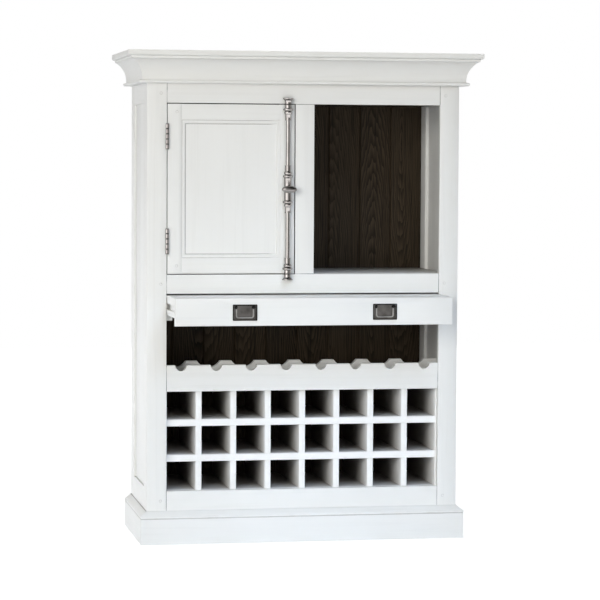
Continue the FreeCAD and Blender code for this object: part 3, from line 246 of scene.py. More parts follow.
def stained(name, turn):
    """Dark stain on flat-sawn boards: arched figure and open pores along their length."""
    made, tree, shader, place = new_material(name)
    turned = add(tree, "ShaderNodeMapping", Vector=place, Rotation=turn).outputs[0]
    parts = add(tree, "ShaderNodeSeparateXYZ", Vector=turned)
    shifted = sums(tree, "MULTIPLY_ADD", parts.outputs["X"], 1.0 / BOARD_WIDTH, BOARDS / 2)
    chance = add(tree, "ShaderNodeTexWhiteNoise", {"noise_dimensions": "1D"}, W=sums(tree, "FLOOR", shifted))
    own = add(tree, "ShaderNodeCombineXYZ", Y=parts.outputs["Y"], Z=parts.outputs["Z"])
    own_x = sums(tree, "MULTIPLY_ADD", sums(tree, "FRACT", shifted), BOARD_WIDTH, -BOARD_WIDTH / 2)
    tree.links.new(own_x, own.inputs["X"])
    move = add(
        tree,
        "ShaderNodeVectorMath",
        {"operation": "MULTIPLY_ADD"},
        _0=chance.outputs["Color"],
        _1=(0.1, 0.2, -0.9),
        _2=(-0.05, 0.0, -0.4),
    )
    added = {"operation": "ADD"}
    moved = add(tree, "ShaderNodeVectorMath", added, _0=own.outputs[0], _1=move.outputs[0]).outputs[0]
    arches = add(tree, "ShaderNodeMapping", Vector=moved, Scale=(9.0, 9.0, 0.9)).outputs[0]
    rings = add(
        tree,
        "ShaderNodeTexWave",
        {"wave_type": "RINGS", "rings_direction": "Y", "wave_profile": "SAW"},
        Vector=arches,
        Scale=7.5,
        Distortion=7.0,
        Detail=4.0,
        Detail_Scale=1.1,
    )
    drawn = add(tree, "ShaderNodeMapping", Vector=moved, Scale=(260.0, 260.0, 5.0)).outputs[0]
    lines = use_group(tree, grain, Coords=drawn)
    figure = mixed(tree, ranged(tree, rings.outputs["Fac"], 0.1, 0.8, 0.0, 1.0), STAIN_DARK, STAIN_MIDDLE)
    tinted = mixed(tree, ranged(tree, chance.outputs["Value"], 0.0, 1.0, 0.0, 0.3), figure, STAIN_LIGHT_AND_DEPTH_SHADE)
    open_pores = ranged(tree, lines.outputs["Figure"], 0.5, 0.68, 0.0, 0.8)
    tree.links.new(mixed(tree, open_pores, tinted, STAIN_DARK), shader.inputs["Base Color"])
    tree.links.new(ranged(tree, rings.outputs["Fac"], 0.0, 1.0, 0.62, 0.44), shader.inputs["Roughness"])
    sunk = add(tree, "ShaderNodeBump", Strength=0.4, Distance=0.0008, Height=lines.outputs["Figure"])
    tree.links.new(sunk.outputs["Normal"], shader.inputs["Normal"])
    shader.inputs["Specular IOR Level"].default_value = 0.18
    return made


upright_stain = stained("dark_stain_upright", (0.0, 0.0, 0.0))
level_stain = stained("dark_stain_level", (math.radians(90), 0.0, 0.0))
eased("back_boards", 0.0004, "Z", upright_stain, "dark_stain")
eased("back_bottom_rail", FINE_ARRIS, "X", paint["X"])

# INSIDE OF THE UPPER BAYS
# Painted boards: the top, the floor of the bays, the upright partition,
# and a loose shelf on two cleats behind the door.
# The floor's paint darkens into stain colour towards the back: painted shade for the depth of the bays.
PAINT_CLEAN = (0.93, 0.93, 0.925, 1.0)
FLOOR_FRONT = -0.39
ARRIS = 0.001


def depth_shaded(front, reach, most, pale=0.0):
    """Painted shade: paint that fades into dark stain colour with depth, quickly at first, from the front
    line on.
    """

    def lining(tree, place, finish):
        depth = add(tree, "ShaderNodeSeparateXYZ", Vector=place).outputs["Y"]
        misted = add(tree, "ShaderNodeTexNoise", Vector=place, Scale=14.0, Detail=3.0).outputs["Fac"]
        past_front = sums(tree, "SUBTRACT", depth, front + reach / 4)
        inward = sums(tree, "MAXIMUM", sums(tree, "MULTIPLY_ADD", misted, reach / 2, past_front), 0.0)
        left = sums(tree, "EXPONENT", sums(tree, "MULTIPLY", inward, -1.0 / reach))
        share = sums(tree, "MULTIPLY_ADD", left, -most, most)
        clean = mixed(tree, pale, finish, PAINT_CLEAN)
        return mixed(tree, share, clean, STAIN_LIGHT_AND_DEPTH_SHADE)

    return lining


# Painted shade: the bay floor's paint darkens with depth.
floor_paint = painted("bay_floor_paint", "X", depth_shaded(FLOOR_FRONT, 0.12, 0.62))
for node, along in (("top_panel", "X"), ("partition", "Z"), ("door_bay_shelf", "X")):
    eased(node, FINE_ARRIS, along, paint[along])
eased("upper_floor", FINE_ARRIS, "X", floor_paint)
eased("shelf_cleats", ARRIS, "Y", paint["Y"])

# HANGING RACK
# Flanged rails of dark stained timber fixed under a board of the same stuff,
# set back in the open bay.
eased("hanger_board", FINE_ARRIS, "X", level_stain, "dark_stain")
eased("hanger_rails", ARRIS, "XY", level_stain, "dark_stain")

# PIGEONHOLES
# Shelves and dividers halved over each other into one painted grid,
# set between a floor, a lid and two cheeks. The paint darkens into stain colour towards the back:
# painted shade for the depth of the pigeonholes.
RACK_FRONT = -0.37
# Painted shade: the grid's paint darkens with depth, faster on the level boards.
level_depth_shade = depth_shaded(RACK_FRONT, 0.02, 0.72, pale=0.85)
upright_depth_shade = depth_shaded(RACK_FRONT, 0.1, 0.86, pale=0.85)
rack_paint = {
    "X": painted("rack_paint_level", "X", level_depth_shade),
    "Z": painted("rack_paint_upright", "Z", upright_depth_shade),
}
for node, width, along in (
    ("rack_floor", 0.0006, "X"),
    ("rack_top", 0.0006, "X"),
    ("rack_shelves", 0.0007, "X"),
    ("rack_dividers", 0.0007, "Z"),
    ("rack_sides", 0.0007, "Z"),
):
    eased(node, width, along, rack_paint[along], high=RACK_FRONT + 0.07)

# FACE FRAME
# Painted stiles and rails, pegged at their joints with pegs that stand a little proud.
# The joints show as dark hairlines. The edges that the door shuts against and the underside
# of the rail over the tray carry near-black painted shade, and the pegs are painted darker round their rims.
FACE_Y = -0.394
DOOR_MIDDLE_X, DOOR_MIDDLE_Z = -0.222, 1.0575
DOORWAY_HALF_WIDTH, DOORWAY_HALF_HEIGHT = 0.193, 0.2535
FRAME_HALF_WIDTH = 0.415
RAIL_FOOT = 0.746
HAIRLINE = 0.95
# Near-black for the joint hairlines, and for the painted shade in the gaps and under the rail.
JOINT_STAIN_AND_SHADE = (0.016, 0.014, 0.012, 1.0)
# Dark paint for the painted shade in the quirks and the groove, and for the rims of the pegs.
PAINT_DARKER = (0.16, 0.14, 0.12, 1.0)
# How much darker the rims of the pegs are.
PEG_RIM_DARK = 0.3


def past_edges(tree, across, level, middle, half):
    """How far a point lies outside a rectangle, or less than nothing inside it."""
    aside = sums(tree, "ABSOLUTE", sums(tree, "SUBTRACT", across, middle[0]))
    above = sums(tree, "ABSOLUTE", sums(tree, "SUBTRACT", level, middle[1]))
    past_side = sums(tree, "SUBTRACT", aside, half[0])
    return sums(tree, "MAXIMUM", past_side, sums(tree, "SUBTRACT", above, half[1]))


def past_door(tree, parts, half):
    """How far a point lies outside a rectangle round the middle of the door."""
    return past_edges(tree, parts.outputs["X"], parts.outputs["Z"], (DOOR_MIDDLE_X, DOOR_MIDDLE_Z), half)


def lined(half_width, half_height):
    """Paint with near-black painted shade on the edges of the door and of its opening, behind the face,
    where the gap lies in shade.
    """

    def lining(tree, place, finish):
        parts = add(tree, "ShaderNodeSeparateXYZ", Vector=place)
        on_edge = sums(tree, "COMPARE", past_door(tree, parts, (half_width, half_height)), 0.0, 0.0009)
        behind = ranged(tree, parts.outputs["Y"], FACE_Y, FACE_Y + 0.0001, 0.0, 1.0)
        return mixed(tree, sums(tree, "MULTIPLY", on_edge, behind), finish, JOINT_STAIN_AND_SHADE)

    return lining


def jointed(axis, middle, half, inner=None):
    """Paint with a dark hairline at both ends of a piece, where its shoulders meet the next one."""

    def lining(tree, place, finish):
        if inner:
            finish = inner(tree, place, finish)
        along = add(tree, "ShaderNodeSeparateXYZ", Vector=place).outputs[axis]
        out = sums(tree, "ABSOLUTE", sums(tree, "SUBTRACT", along, middle))
        gappy = add(tree, "ShaderNodeTexNoise", Vector=place, Scale=30.0, Detail=2.0).outputs["Fac"]
        open_joint = ranged(tree, out, half - 0.0015, half - 0.001, 0.0, HAIRLINE)
        share = sums(tree, "MULTIPLY", open_joint, ranged(tree, gappy, 0.35, 0.55, 0.5, 1.0))
        return mixed(tree, share, finish, JOINT_STAIN_AND_SHADE)

    return lining


# Painted shade round the edges of the doorway.
doorway_gap_shade = lined(DOORWAY_HALF_WIDTH, DOORWAY_HALF_HEIGHT)
stile_joints_and_shade = jointed("Z", DOOR_MIDDLE_Z, DOORWAY_HALF_HEIGHT, doorway_gap_shade)
rail_joints_and_shade = jointed("X", 0.0, FRAME_HALF_WIDTH, doorway_gap_shade)
eased("face_stile_right", ARRIS, "Z", paint["Z"])
eased("face_stile_left", ARRIS, "Z", painted("doorway_paint_stile", "Z", doorway_gap_shade))
eased("centre_stile", ARRIS, "Z", painted("doorway_paint_centre", "Z", stile_joints_and_shade))
shouldered_and_shaded = painted("doorway_paint_rail", "X", rail_joints_and_shade)


def shaded_under_rail(tree, place, finish):
    """Near-black painted shade under the rail that the tray slides below."""
    level = add(tree, "ShaderNodeSeparateXYZ", Vector=place).outputs["Z"]
    under = ranged(tree, level, RAIL_FOOT + 0.0002, RAIL_FOOT + 0.0006, 1.0, 0.0)
    return mixed(tree, under, rail_joints_and_shade(tree, place, finish), JOINT_STAIN_AND_SHADE)


for node in ("frieze_rail", "bottom_rail"):
    eased(node, ARRIS, "X", shouldered_and_shaded)
# Painted shade under the middle rail, above the tray.
eased("middle_rail", ARRIS, "X", painted("doorway_paint_middle", "X", shaded_under_rail))


def rimmed(tree, place, finish):
    """Darker paint round the rim of a peg."""
    rim = add(tree, "ShaderNodeAttribute", {"attribute_name": "arris"}).outputs["Fac"]
    return mixed(tree, sums(tree, "MULTIPLY", rim, PEG_RIM_DARK), finish, PAINT_DARKER)


peg_paint = painted("peg_paint", "Z", rimmed)
for node in ("frame_pegs", "door_pegs"):
    eased(node, 0.0009, "all", peg_paint, high=FACE_Y + 0.0005)

# CRADLE RAILS
# Two painted rails, the front one cut with small half-round notches
# and the rear one with wide shallow scallops.
eased("cradle_front_rail", 0.0009, "X", shouldered_and_shaded)
eased("cradle_rear_rail", 0.0009, "X", paint["X"])

# PLINTH
# Mitred boards planted round the foot, with a V-groove run under a long bevel.
# Painted shade lies in the groove, and along the top of the returns where they meet the side frames.
GROOVE_Z, RETURN_TOP = 0.077, 0.099
# Share of painted shade in the groove.
GROOVE_SHADE = 0.5


def settled(rim):
    """Paint with painted shade in the groove, and with the given share of painted shade along the top."""

    def lining(tree, place, finish):
        level = add(tree, "ShaderNodeSeparateXYZ", Vector=place).outputs["Z"]
        off = sums(tree, "ABSOLUTE", sums(tree, "SUBTRACT", level, GROOVE_Z))
        in_groove = ranged(tree, off, 0.0006, 0.0015, GROOVE_SHADE, 0.0)
        at_rim = ranged(tree, level, RETURN_TOP - 0.0016, RETURN_TOP - 0.0008, 0.0, rim)
        return mixed(tree, sums(tree, "MAXIMUM", in_groove, at_rim), finish, PAINT_DARKER)

    return lining


# Painted shade in the groove, and along the top of the returns.
eased("plinth_front", FINE_ARRIS, "X", painted("plinth_paint_front", "X", settled(0.1)))
eased("plinth_returns", FINE_ARRIS, "Y", painted("plinth_paint_return", "Y", settled(0.65)))

# CORNICE
# A half-round bead, a coved crown and a slab of painted timber.
# Bead and crown return along the sides, and the crown is mitred at the front corners.
eased("cornice_bead", 0.0005, "XY", paint["X"], smooth=50)
eased("crown_front", FINE_ARRIS, "X", paint["X"])
eased("crown_returns", FINE_ARRIS, "Y", paint["Y"])
eased("cornice_top", 0.0012, "XY", paint["X"], smooth=50)

# TRAY
# A painted board tray with a deep front and grooved sides.
# It slides on runners fixed to the side frames.
SHAVING = 0.0004
for node in ("tray_front", "tray_top"):
    eased(node, 0.0012, "XZ", paint["X"])
eased("tray_back", FINE_ARRIS, "X", paint["X"])
eased("tray_sides", FINE_ARRIS, "Y", paint["Y"])
runners = eased("tray_runners", FINE_ARRIS, "Y", paint["Y"])


def choose_faces(piece, test):
    """Selects the faces that pass a test on their middle and normal."""
    bpy.ops.mesh.select_mode(type="FACE")
    mesh = bmesh.from_edit_mesh(piece.data)
    for face in mesh.faces:
        face.select_set(bool(test(face.calc_center_median(), face.normal)))
    mesh.select_flush_mode()
    bmesh.update_edit_mesh(piece.data)


# The ends that stop the tray front are planed back by a shaving
only(runners)
bpy.ops.object.mode_set(mode="EDIT")
choose_faces(runners, lambda middle, normal: normal.y < -0.9 and middle.y < -0.37)
bpy.ops.transform.translate(value=(0.0, SHAVING, 0.0))
bpy.ops.object.mode_set(mode="OBJECT")

# DOOR
# A grooved frame round a flat panel with a rounded bead planted inside, all painted.
# The edge with the hinges carries the same painted shade as the doorway, and painted shade lies
# in the quirks on both sides of the bead, except beside the bolt.
DOOR_HALF_WIDTH = 0.191
PANEL_HALF = (0.137, 0.1935)
BEAD_HALF = (0.148, 0.2045)
SHADE_END_X = -0.11
QUIRK_BACK = -0.386


def quirk_shaded(half, most):
    """Paint with a line of painted shade just inside a rectangle round the middle of the door."""

    def lining(tree, place, finish):
        parts = add(tree, "ShaderNodeSeparateXYZ", Vector=place)
        in_quirk = ranged(tree, past_door(tree, parts, half), -0.0016, -0.001, 0.0, most)
        # The painted shade stops short of the bolt.
        kept = ranged(tree, parts.outputs["X"], SHADE_END_X, SHADE_END_X + 0.02, 1.0, 0.0)
        in_front = ranged(tree, parts.outputs["Y"], QUIRK_BACK, QUIRK_BACK + 0.001, 1.0, 0.0)
        share = sums(tree, "MULTIPLY", in_quirk, sums(tree, "MULTIPLY", kept, in_front))
        return mixed(tree, share, finish, PAINT_DARKER)

    return lining


# Painted shade on the hinge edge of the door.
hinge_edge_paint = painted("door_paint_hinge_edge", "Z", lined(DOOR_HALF_WIDTH, FAR))
# Painted shade in the quirks round the panel and the bead.
panel_paint = painted("door_paint_panel", "Z", quirk_shaded(PANEL_HALF, 0.75))
bead_paint = painted("door_paint_bead", "Z", quirk_shaded(BEAD_HALF, 0.5))
eased("door_hinge_stile", ARRIS, "Z", hinge_edge_paint)
eased("door_lock_stile", ARRIS, "Z", paint["Z"])
for node in ("door_top_rail", "door_bottom_rail"):
    eased(node, ARRIS, "X", paint["X"])
eased("door_panel", FINE_ARRIS, "", panel_paint)
eased("door_panel_bead", 0.0006, "XZ", bead_paint, smooth=50)

# HINGES
# Butt hinges of plated steel let into the edges of the door and the stile.
# Only their knuckles show, five to a hinge, on a fixed pin.
smudge, smudge_in, smudge_out = new_group(
    "handling", [("Coords", "Vector")], [("Dull", "Float"), ("Rubs", "Float")]
)
coords = smudge_in.outputs["Coords"]
breath = add(smudge, "ShaderNodeTexNoise", Vector=coords, Scale=38.0, Detail=3.0, Roughness=0.5)
hairs = add(smudge, "ShaderNodeMapping", Vector=coords, Scale=(900.0, 900.0, 60.0))
scratches = add(smudge, "ShaderNodeTexNoise", Vector=hairs.outputs[0], Scale=1.0, Detail=2.0)
smudge.links.new(breath.outputs["Fac"], smudge_out.inputs["Dull"])
smudge.links.new(scratches.outputs["Fac"], smudge_out.inputs["Rubs"])


def plated(name, pale, deep, smooth, rough, patina=None, bare=1.0):
    """Metal dulled in patches and finely scratched by handling; less bare where an old film covers it."""
    made, tree, shader, place = new_material(name)
    marks = use_group(tree, smudge, Coords=place)
    finish = mixed(tree, ranged(tree, marks.outputs["Dull"], 0.38, 0.68, 0.0, 1.0), pale, deep)
    # The finish function adds patina, grime and painted shade where one is given.
    if patina:
        finish = patina(tree, place, finish)
    tree.links.new(finish, shader.inputs["Base Color"])
    tree.links.new(ranged(tree, marks.outputs["Dull"], 0.3, 0.75, smooth, rough), shader.inputs["Roughness"])
    raised = add(tree, "ShaderNodeBump", Strength=0.12, Distance=0.0003, Height=marks.outputs["Rubs"])
    tree.links.new(raised.outputs["Normal"], shader.inputs["Normal"])
    shader.inputs["Metallic"].default_value = bare
    return made


HINGE_AXIS = (-0.414, -0.3993)
HINGE_FOOT, HINGE_RISE, KNUCKLE = 0.8645, 0.31, 0.0152
# Dark grime, also the colour of the painted shade on the flanks.
GRIME_AND_SHADE = (0.03, 0.027, 0.026, 1.0)
# The most painted shade on the flanks of turned fittings.
FLANK_SHADE_MOST = 0.94


def flank_shade(tree, place, axis_x, axis_y):
    """How much painted shade goes on the flanks of an upright turned fitting, the sides turned away from the
    front.
    """
    parts = add(tree, "ShaderNodeSeparateXYZ", Vector=place)
    aside = sums(tree, "SUBTRACT", parts.outputs["X"], axis_x)
    ahead = sums(tree, "SUBTRACT", axis_y, parts.outputs["Y"])
    out = sums(tree, "SQRT", sums(tree, "MULTIPLY_ADD", aside, aside, sums(tree, "MULTIPLY", ahead, ahead)))
    return ranged(tree, sums(tree, "DIVIDE", ahead, out), 0.26, 0.7, FLANK_SHADE_MOST, 0.0)


def knuckle_grime_and_shade(tree, place, finish):
    """Dark grime in the joints between the knuckles of both hinges, and painted shade on their flanks."""
    level = add(tree, "ShaderNodeSeparateXYZ", Vector=place).outputs["Z"]
    upper = sums(tree, "MULTIPLY", sums(tree, "GREATER_THAN", level, DOOR_MIDDLE_Z), HINGE_RISE)
    up = sums(tree, "SUBTRACT", sums(tree, "SUBTRACT", level, HINGE_FOOT), upper)
    off_joint = sums(tree, "PINGPONG", up, KNUCKLE / 2)
    in_joint = ranged(tree, off_joint, 0.001, 0.0024, 1.0, 0.0)
    return mixed(tree, sums(tree, "MAXIMUM", in_joint, flank_shade(tree, place, *HINGE_AXIS)), finish, GRIME_AND_SHADE)


HINGE_PALE, HINGE_DEEP = (0.70, 0.665, 0.65, 1.0), (0.56, 0.52, 0.51, 1.0)
# Painted shade on the flanks of the knuckles.
hinge_nickel = plated("hinge_nickel", HINGE_PALE, HINGE_DEEP, 0.1, 0.2, knuckle_grime_and_shade)
for node in ("hinge_frame_leaves", "hinge_door_leaves"):
    eased(node, 0.0004, "", hinge_nickel, "nickel")

# SLIDING BOLT
# Turned and polished fittings on the lock stile: a case with the knob in its middle, two guides,
# and flared keepers on the rails. Two rods slide in them, driven by a pinion behind the knob.
BOLT_X, BOLT_Y, BOLT_Z = -0.0525, -0.4035, DOOR_MIDDLE_Z
HOLLOW_GRIME = 0.95
NICKEL_PALE, NICKEL_DEEP = (0.68, 0.65, 0.63, 1.0), (0.56, 0.525, 0.505, 1.0)
ROD_BORE, SPINDLE_BORE = 0.0061, 0.0032
RING_STEPS, TURNED_SIDES = 6, 48


def turned_grime_and_shade(tree, place, finish):
    """Painted shade on the flanks, and grime settled in the hollows beside the rings."""
    hollow = add(tree, "ShaderNodeAttribute", {"attribute_name": "hollow"}).outputs["Fac"]
    settled_grime = sums(tree, "MULTIPLY", hollow, HOLLOW_GRIME)
    flanks = flank_shade(tree, place, BOLT_X, BOLT_Y)
    return mixed(tree, sums(tree, "MAXIMUM", flanks, settled_grime), finish, GRIME_AND_SHADE)


# Painted shade on the flanks of the bolt's fittings.
nickel = plated("aged_nickel", NICKEL_PALE, NICKEL_DEEP, 0.06, 0.15, turned_grime_and_shade)


def half_round(middle, core, half):
    """Stations over a ring whose edge is a half circle."""
    turns = [math.pi * (step / RING_STEPS - 0.5) for step in range(RING_STEPS + 1)]
    return [(core + half * math.cos(turn), middle + half * math.sin(turn)) for turn in turns]


def bellied(foot, head, low, high, swell):
    """Stations over a soft swelling between two levels."""
    shares = (0.0, 0.14, 0.34, 0.55, 0.76, 0.92, 1.0)
    return [
        (low + (high - low) * t + swell * math.sin(math.pi * t), foot + (head - foot) * t) for t in shares
    ]


def opened(name):
    """Names the piece just made, takes its place and turn into its mesh, and opens it for editing."""
    piece = bpy.context.object
    piece.name = name
    bpy.ops.object.transform_apply(location=True, rotation=True, scale=True)
    bpy.ops.object.mode_set(mode="EDIT")
    return piece


def spun(name, stations, centre):
    """A turned piece: a ring of points drawn out and scaled from station to station, then closed."""
    radius, level = stations[0]
    foot = (centre.x, centre.y, centre.z + level)
    bpy.ops.object.select_all(action="DESELECT")
    bpy.ops.mesh.primitive_circle_add(vertices=TURNED_SIDES, radius=radius, location=foot)
    piece = opened(name)
    bpy.ops.mesh.select_all(action="SELECT")
    for next_radius, next_level in stations[1:] + stations[:1]:
        rise = (0.0, 0.0, next_level - level)
        bpy.ops.mesh.extrude_edges_move(TRANSFORM_OT_translate={"value": rise})
        share = next_radius / radius
        middle = (centre.x, centre.y, centre.z + next_level)
        bpy.ops.transform.resize(value=(share, share, 1.0), center_override=middle)
        radius, level = next_radius, next_level
    bpy.ops.mesh.select_all(action="SELECT")
    bpy.ops.mesh.remove_doubles(threshold=0.000005)
    bpy.ops.mesh.normals_make_consistent(inside=False)
    return piece


def flattened(piece, stations, centre):
    """Saws the back of a turned piece flat where it lies on the door or the rail, and marks its hollows."""
    bpy.ops.mesh.select_all(action="SELECT")
    bpy.ops.mesh.bisect(
        plane_co=(0.0, FACE_Y, 0.0), plane_no=(0.0, 1.0, 0.0), use_fill=True, clear_outer=True
    )
    mesh = bmesh.from_edit_mesh(piece.data)
    layer = mesh.faces.layers.float.new("hollow")
    for face in mesh.faces:
        middle = face.calc_center_median() - centre
        near = [radius for radius, level in stations if abs(level - middle.z) < 0.0032]
        face[layer] = min(1.0, max(0.0, max(near, default=0.0) - middle.xy.length - 0.0008) / 0.0026)
    bmesh.update_edit_mesh(piece.data)
    closed(35)
    return piece


def upturned(stations):
    """The same stations met from the other end."""
    return [(radius, -level) for radius, level in stations[::-1]]


def drilled(piece, hole, **cylinder):
    """Drills one round hole."""
    bpy.ops.mesh.primitive_cylinder_add(**cylinder)
    drill = bpy.context.object
    only(piece)
    cut = piece.modifiers.new(hole, "BOOLEAN")
    cut.object = drill
    cut.operation = "DIFFERENCE"
    bpy.ops.object.modifier_apply(modifier=cut.name)
    bpy.data.objects.remove(drill)


HEAD = half_round(0.0385, 0.0117, 0.0035)
HEAD += bellied(0.0425, 0.0532, 0.0094, 0.0088, 0.0024)
HEAD += [(0.0084, 0.0540), (0.0084, 0.0686), (0.0092, 0.0692), (0.0092, 0.0706), (0.0086, 0.0710)]
bolt_middle = Vector((BOLT_X, BOLT_Y, BOLT_Z))
case_stations = upturned(HEAD)
case_stations += [(0.0112, -0.0345), (0.0108, -0.0325), (0.0108, 0.0325), (0.0112, 0.0345)]
case_stations += HEAD
case_stations += [(ROD_BORE, 0.0710), (ROD_BORE, 0.0405), (0.0083, 0.0400)]
case_stations += [(0.0083, -0.0400), (ROD_BORE, -0.0405), (ROD_BORE, -0.0710)]
case = flattened(spun("bolt_case_turned", case_stations, bolt_middle), case_stations, bolt_middle)
drilled(
    case,
    "spindle_hole",
    vertices=24,
    radius=SPINDLE_BORE,
    depth=0.02,
    location=(BOLT_X, BOLT_Y - 0.01, BOLT_Z),
    rotation=(math.radians(90), 0.0, 0.0),
)
finish_piece(case, nickel, "door", "nickel", "bolt_case")

GUIDE = [(0.0104, 0.0), (0.0104, 0.0008), (0.0098, 0.0016), (0.0098, 0.0092), (0.0104, 0.0100)]
GUIDE += [(radius, level - 0.0245) for radius, level in HEAD]
GUIDE += [(ROD_BORE, 0.0465), (ROD_BORE, 0.0)]
KEEPER = [(0.0098, 0.0), (0.0098, 0.0040), (0.0101, 0.0068), (0.0110, 0.0096), (0.0126, 0.0120)]
KEEPER += [(0.0150, 0.0139), (0.0158, 0.0143), (0.0160, 0.0150), (0.0160, 0.0163), (0.0155, 0.0170)]
KEEPER += [(0.0128, 0.0170), (0.0122, 0.0165), (0.0004, 0.0165), (0.0004, 0.0140)]
KEEPER += [(0.0062, 0.0140), (0.0062, 0.0)]
guides = []
keepers = []
FITTING_LEVELS = (("upper", -1, 1.3085, 1.3115), ("lower", 1, 0.8065, 0.8035))
for end, way, guide_level, keeper_level in FITTING_LEVELS:
    guide_stations = GUIDE if way > 0 else upturned(GUIDE)
    keeper_stations = KEEPER if way < 0 else upturned(KEEPER)
    for kind, pair, stations, level in (
        ("guide", guides, guide_stations, guide_level),
        ("keeper", keepers, keeper_stations, keeper_level),
    ):
        centre = Vector((BOLT_X, BOLT_Y, level))
        pair.append(flattened(spun(f"bolt_{kind}_{end}", stations, centre), stations, centre))
for pair, body, node in ((guides, "door", "bolt_guides"), (keepers, "root", "bolt_keepers")):
    only(pair[0])
    pair[1].select_set(True)
    bpy.ops.object.join()
    finish_piece(pair[0], nickel, body, "nickel", node)
for node in ("bolt_rod_upper", "bolt_rod_lower"):
    eased(node, 0.0006, "", nickel, "nickel", smooth=35)
eased("bolt_pinion", 0.0002, "", nickel, "nickel")

# Turn knob: an oval on a waisted neck, with the spindle that carries the pinion
KNOB_PALE, KNOB_DEEP = (0.40, 0.38, 0.37, 1.0), (0.24, 0.225, 0.215, 1.0)
KNOB_Y = FACE_Y - 0.035
KNOB_SIDES = 40
knob_nickel = plated("knob_nickel", KNOB_PALE, KNOB_DEEP, 0.08, 0.2)
knob_middle = (BOLT_X, KNOB_Y, BOLT_Z)
bpy.ops.object.select_all(action="DESELECT")
bpy.ops.mesh.primitive_uv_sphere_add(segments=KNOB_SIDES, ring_count=24, radius=0.011, location=knob_middle)
knob = opened("bolt_knob_oval")
bpy.ops.mesh.select_all(action="SELECT")
bpy.ops.transform.resize(value=(2.09, 0.95, 1.0), center_override=knob_middle)
bpy.ops.mesh.select_all(action="DESELECT")
neck_stations = [(0.0074, 0.0070), (0.0058, 0.0088), (0.0052, 0.0110), (0.0056, 0.0128), (0.0068, 0.0138)]
neck_stations += [(0.0068, 0.0144), (0.0030, 0.0144), (0.0030, 0.0280), (0.0006, 0.0280)]
radius, depth = neck_stations[0]
bpy.ops.mesh.primitive_circle_add(
    vertices=KNOB_SIDES,
    radius=radius,
    location=(BOLT_X, KNOB_Y + depth, BOLT_Z),
    rotation=(math.radians(90), 0.0, 0.0),
)
for next_radius, next_depth in neck_stations[1:]:
    bpy.ops.mesh.extrude_edges_move(TRANSFORM_OT_translate={"value": (0.0, next_depth - depth, 0.0)})
    share = next_radius / radius
    middle = (BOLT_X, KNOB_Y + next_depth, BOLT_Z)
    bpy.ops.transform.resize(value=(share, 1.0, share), center_override=middle)
    radius, depth = next_radius, next_depth
bpy.ops.mesh.edge_face_add()
bpy.ops.mesh.select_all(action="SELECT")
bpy.ops.mesh.normals_make_consistent(inside=False)
closed(45)
finish_piece(knob, knob_nickel, "knob", "nickel", "bolt_knob")

# PULLS
# Cast plates of dark pewter let into the tray front, each with a sunk dish, four pins
# and a wire bail hung from two holes in the sides of the dish.
PULL_XS = (-0.2085, 0.2085)
PULL_Z = 0.701
PLATE_FRONT, PLATE_BACK = -0.577, -0.574
PLATE_WIDTH, PLATE_HEIGHT = 0.072, 0.047
RIM, CUP_WIDTH, CUP_HEIGHT, CUP_DEPTH = 0.003, 0.065, 0.043, 0.0085
BORDER_STEPS = ((0.0016, 0.0), (0.0004, 0.0008), (0.0012, 0.0), (0.0006, -0.0008), (0.0008, 0.0))
DISH_DEPTH = 0.0084
PIN_ASIDE, PIN_ABOVE = 0.0334, 0.0209
PIVOT_ASIDE, PIVOT_Y, PIVOT_Z = 0.0262, -0.573, 0.7165
WIRE = 0.0021
# Patina on the plate's edge, also the colour of the painted shade about the pivots.
PATINA_AND_SHADE = (0.018, 0.017, 0.017, 1.0)
PEWTER_PALE, PEWTER_DEEP = (0.22, 0.21, 0.20, 1.0), (0.13, 0.122, 0.115, 1.0)
RUBBED_PALE, RUBBED_DEEP = (0.50, 0.485, 0.465, 1.0), (0.36, 0.345, 0.33, 1.0)


def length(tree, vector):
    """The length of a vector that changes over the surface."""
    return add(tree, "ShaderNodeVectorMath", {"operation": "LENGTH"}, _0=vector).outputs["Value"]


def shade_by_pivots(tree, place, near, far):
    """Painted shade about the pivots of the bails, where the wire goes into its holes, fading between two
    distances.
    """
    parts = add(tree, "ShaderNodeSeparateXYZ", Vector=place)
    across = sums(tree, "ABSOLUTE", parts.outputs["X"])
    aside = sums(tree, "ABSOLUTE", sums(tree, "SUBTRACT", across, PULL_XS[1]))
    off_pivot = add(tree, "ShaderNodeCombineXYZ")
    tree.links.new(sums(tree, "SUBTRACT", aside, PIVOT_ASIDE), off_pivot.inputs["X"])
    tree.links.new(sums(tree, "SUBTRACT", parts.outputs["Z"], PIVOT_Z), off_pivot.inputs["Z"])
    return ranged(tree, length(tree, off_pivot.outputs[0]), near, far, 1.0, 0.0)


def plate_patina_and_shade(tree, place, finish):
    """Dark patina left round the plate's edge, and painted shade about the pivots."""
    parts = add(tree, "ShaderNodeSeparateXYZ", Vector=place)
    across = sums(tree, "ABSOLUTE", parts.outputs["X"])
    half = (PLATE_WIDTH / 2, PLATE_HEIGHT / 2)
    past = past_edges(tree, across, parts.outputs["Z"], (PULL_XS[1], PULL_Z), half)
    edge = ranged(tree, past, -0.0042, -0.0022, 0.0, 0.85)
    return mixed(tree, sums(tree, "MAXIMUM", edge, shade_by_pivots(tree, place, 0.004, 0.0062)), finish, PATINA_AND_SHADE)


def bail_pivot_shade(tree, place, finish):
    """Painted shade on the ends of the wire, about the pivots."""
    return mixed(tree, shade_by_pivots(tree, place, 0.0042, 0.0068), finish, PATINA_AND_SHADE)


# Painted shade about the pivots of the bails.
pewter = plated("dark_pewter", PEWTER_PALE, PEWTER_DEEP, 0.34, 0.5, plate_patina_and_shade)
bail_metal = plated("rubbed_pewter", RUBBED_PALE, RUBBED_DEEP, 0.3, 0.5, bail_pivot_shade, 0.55)


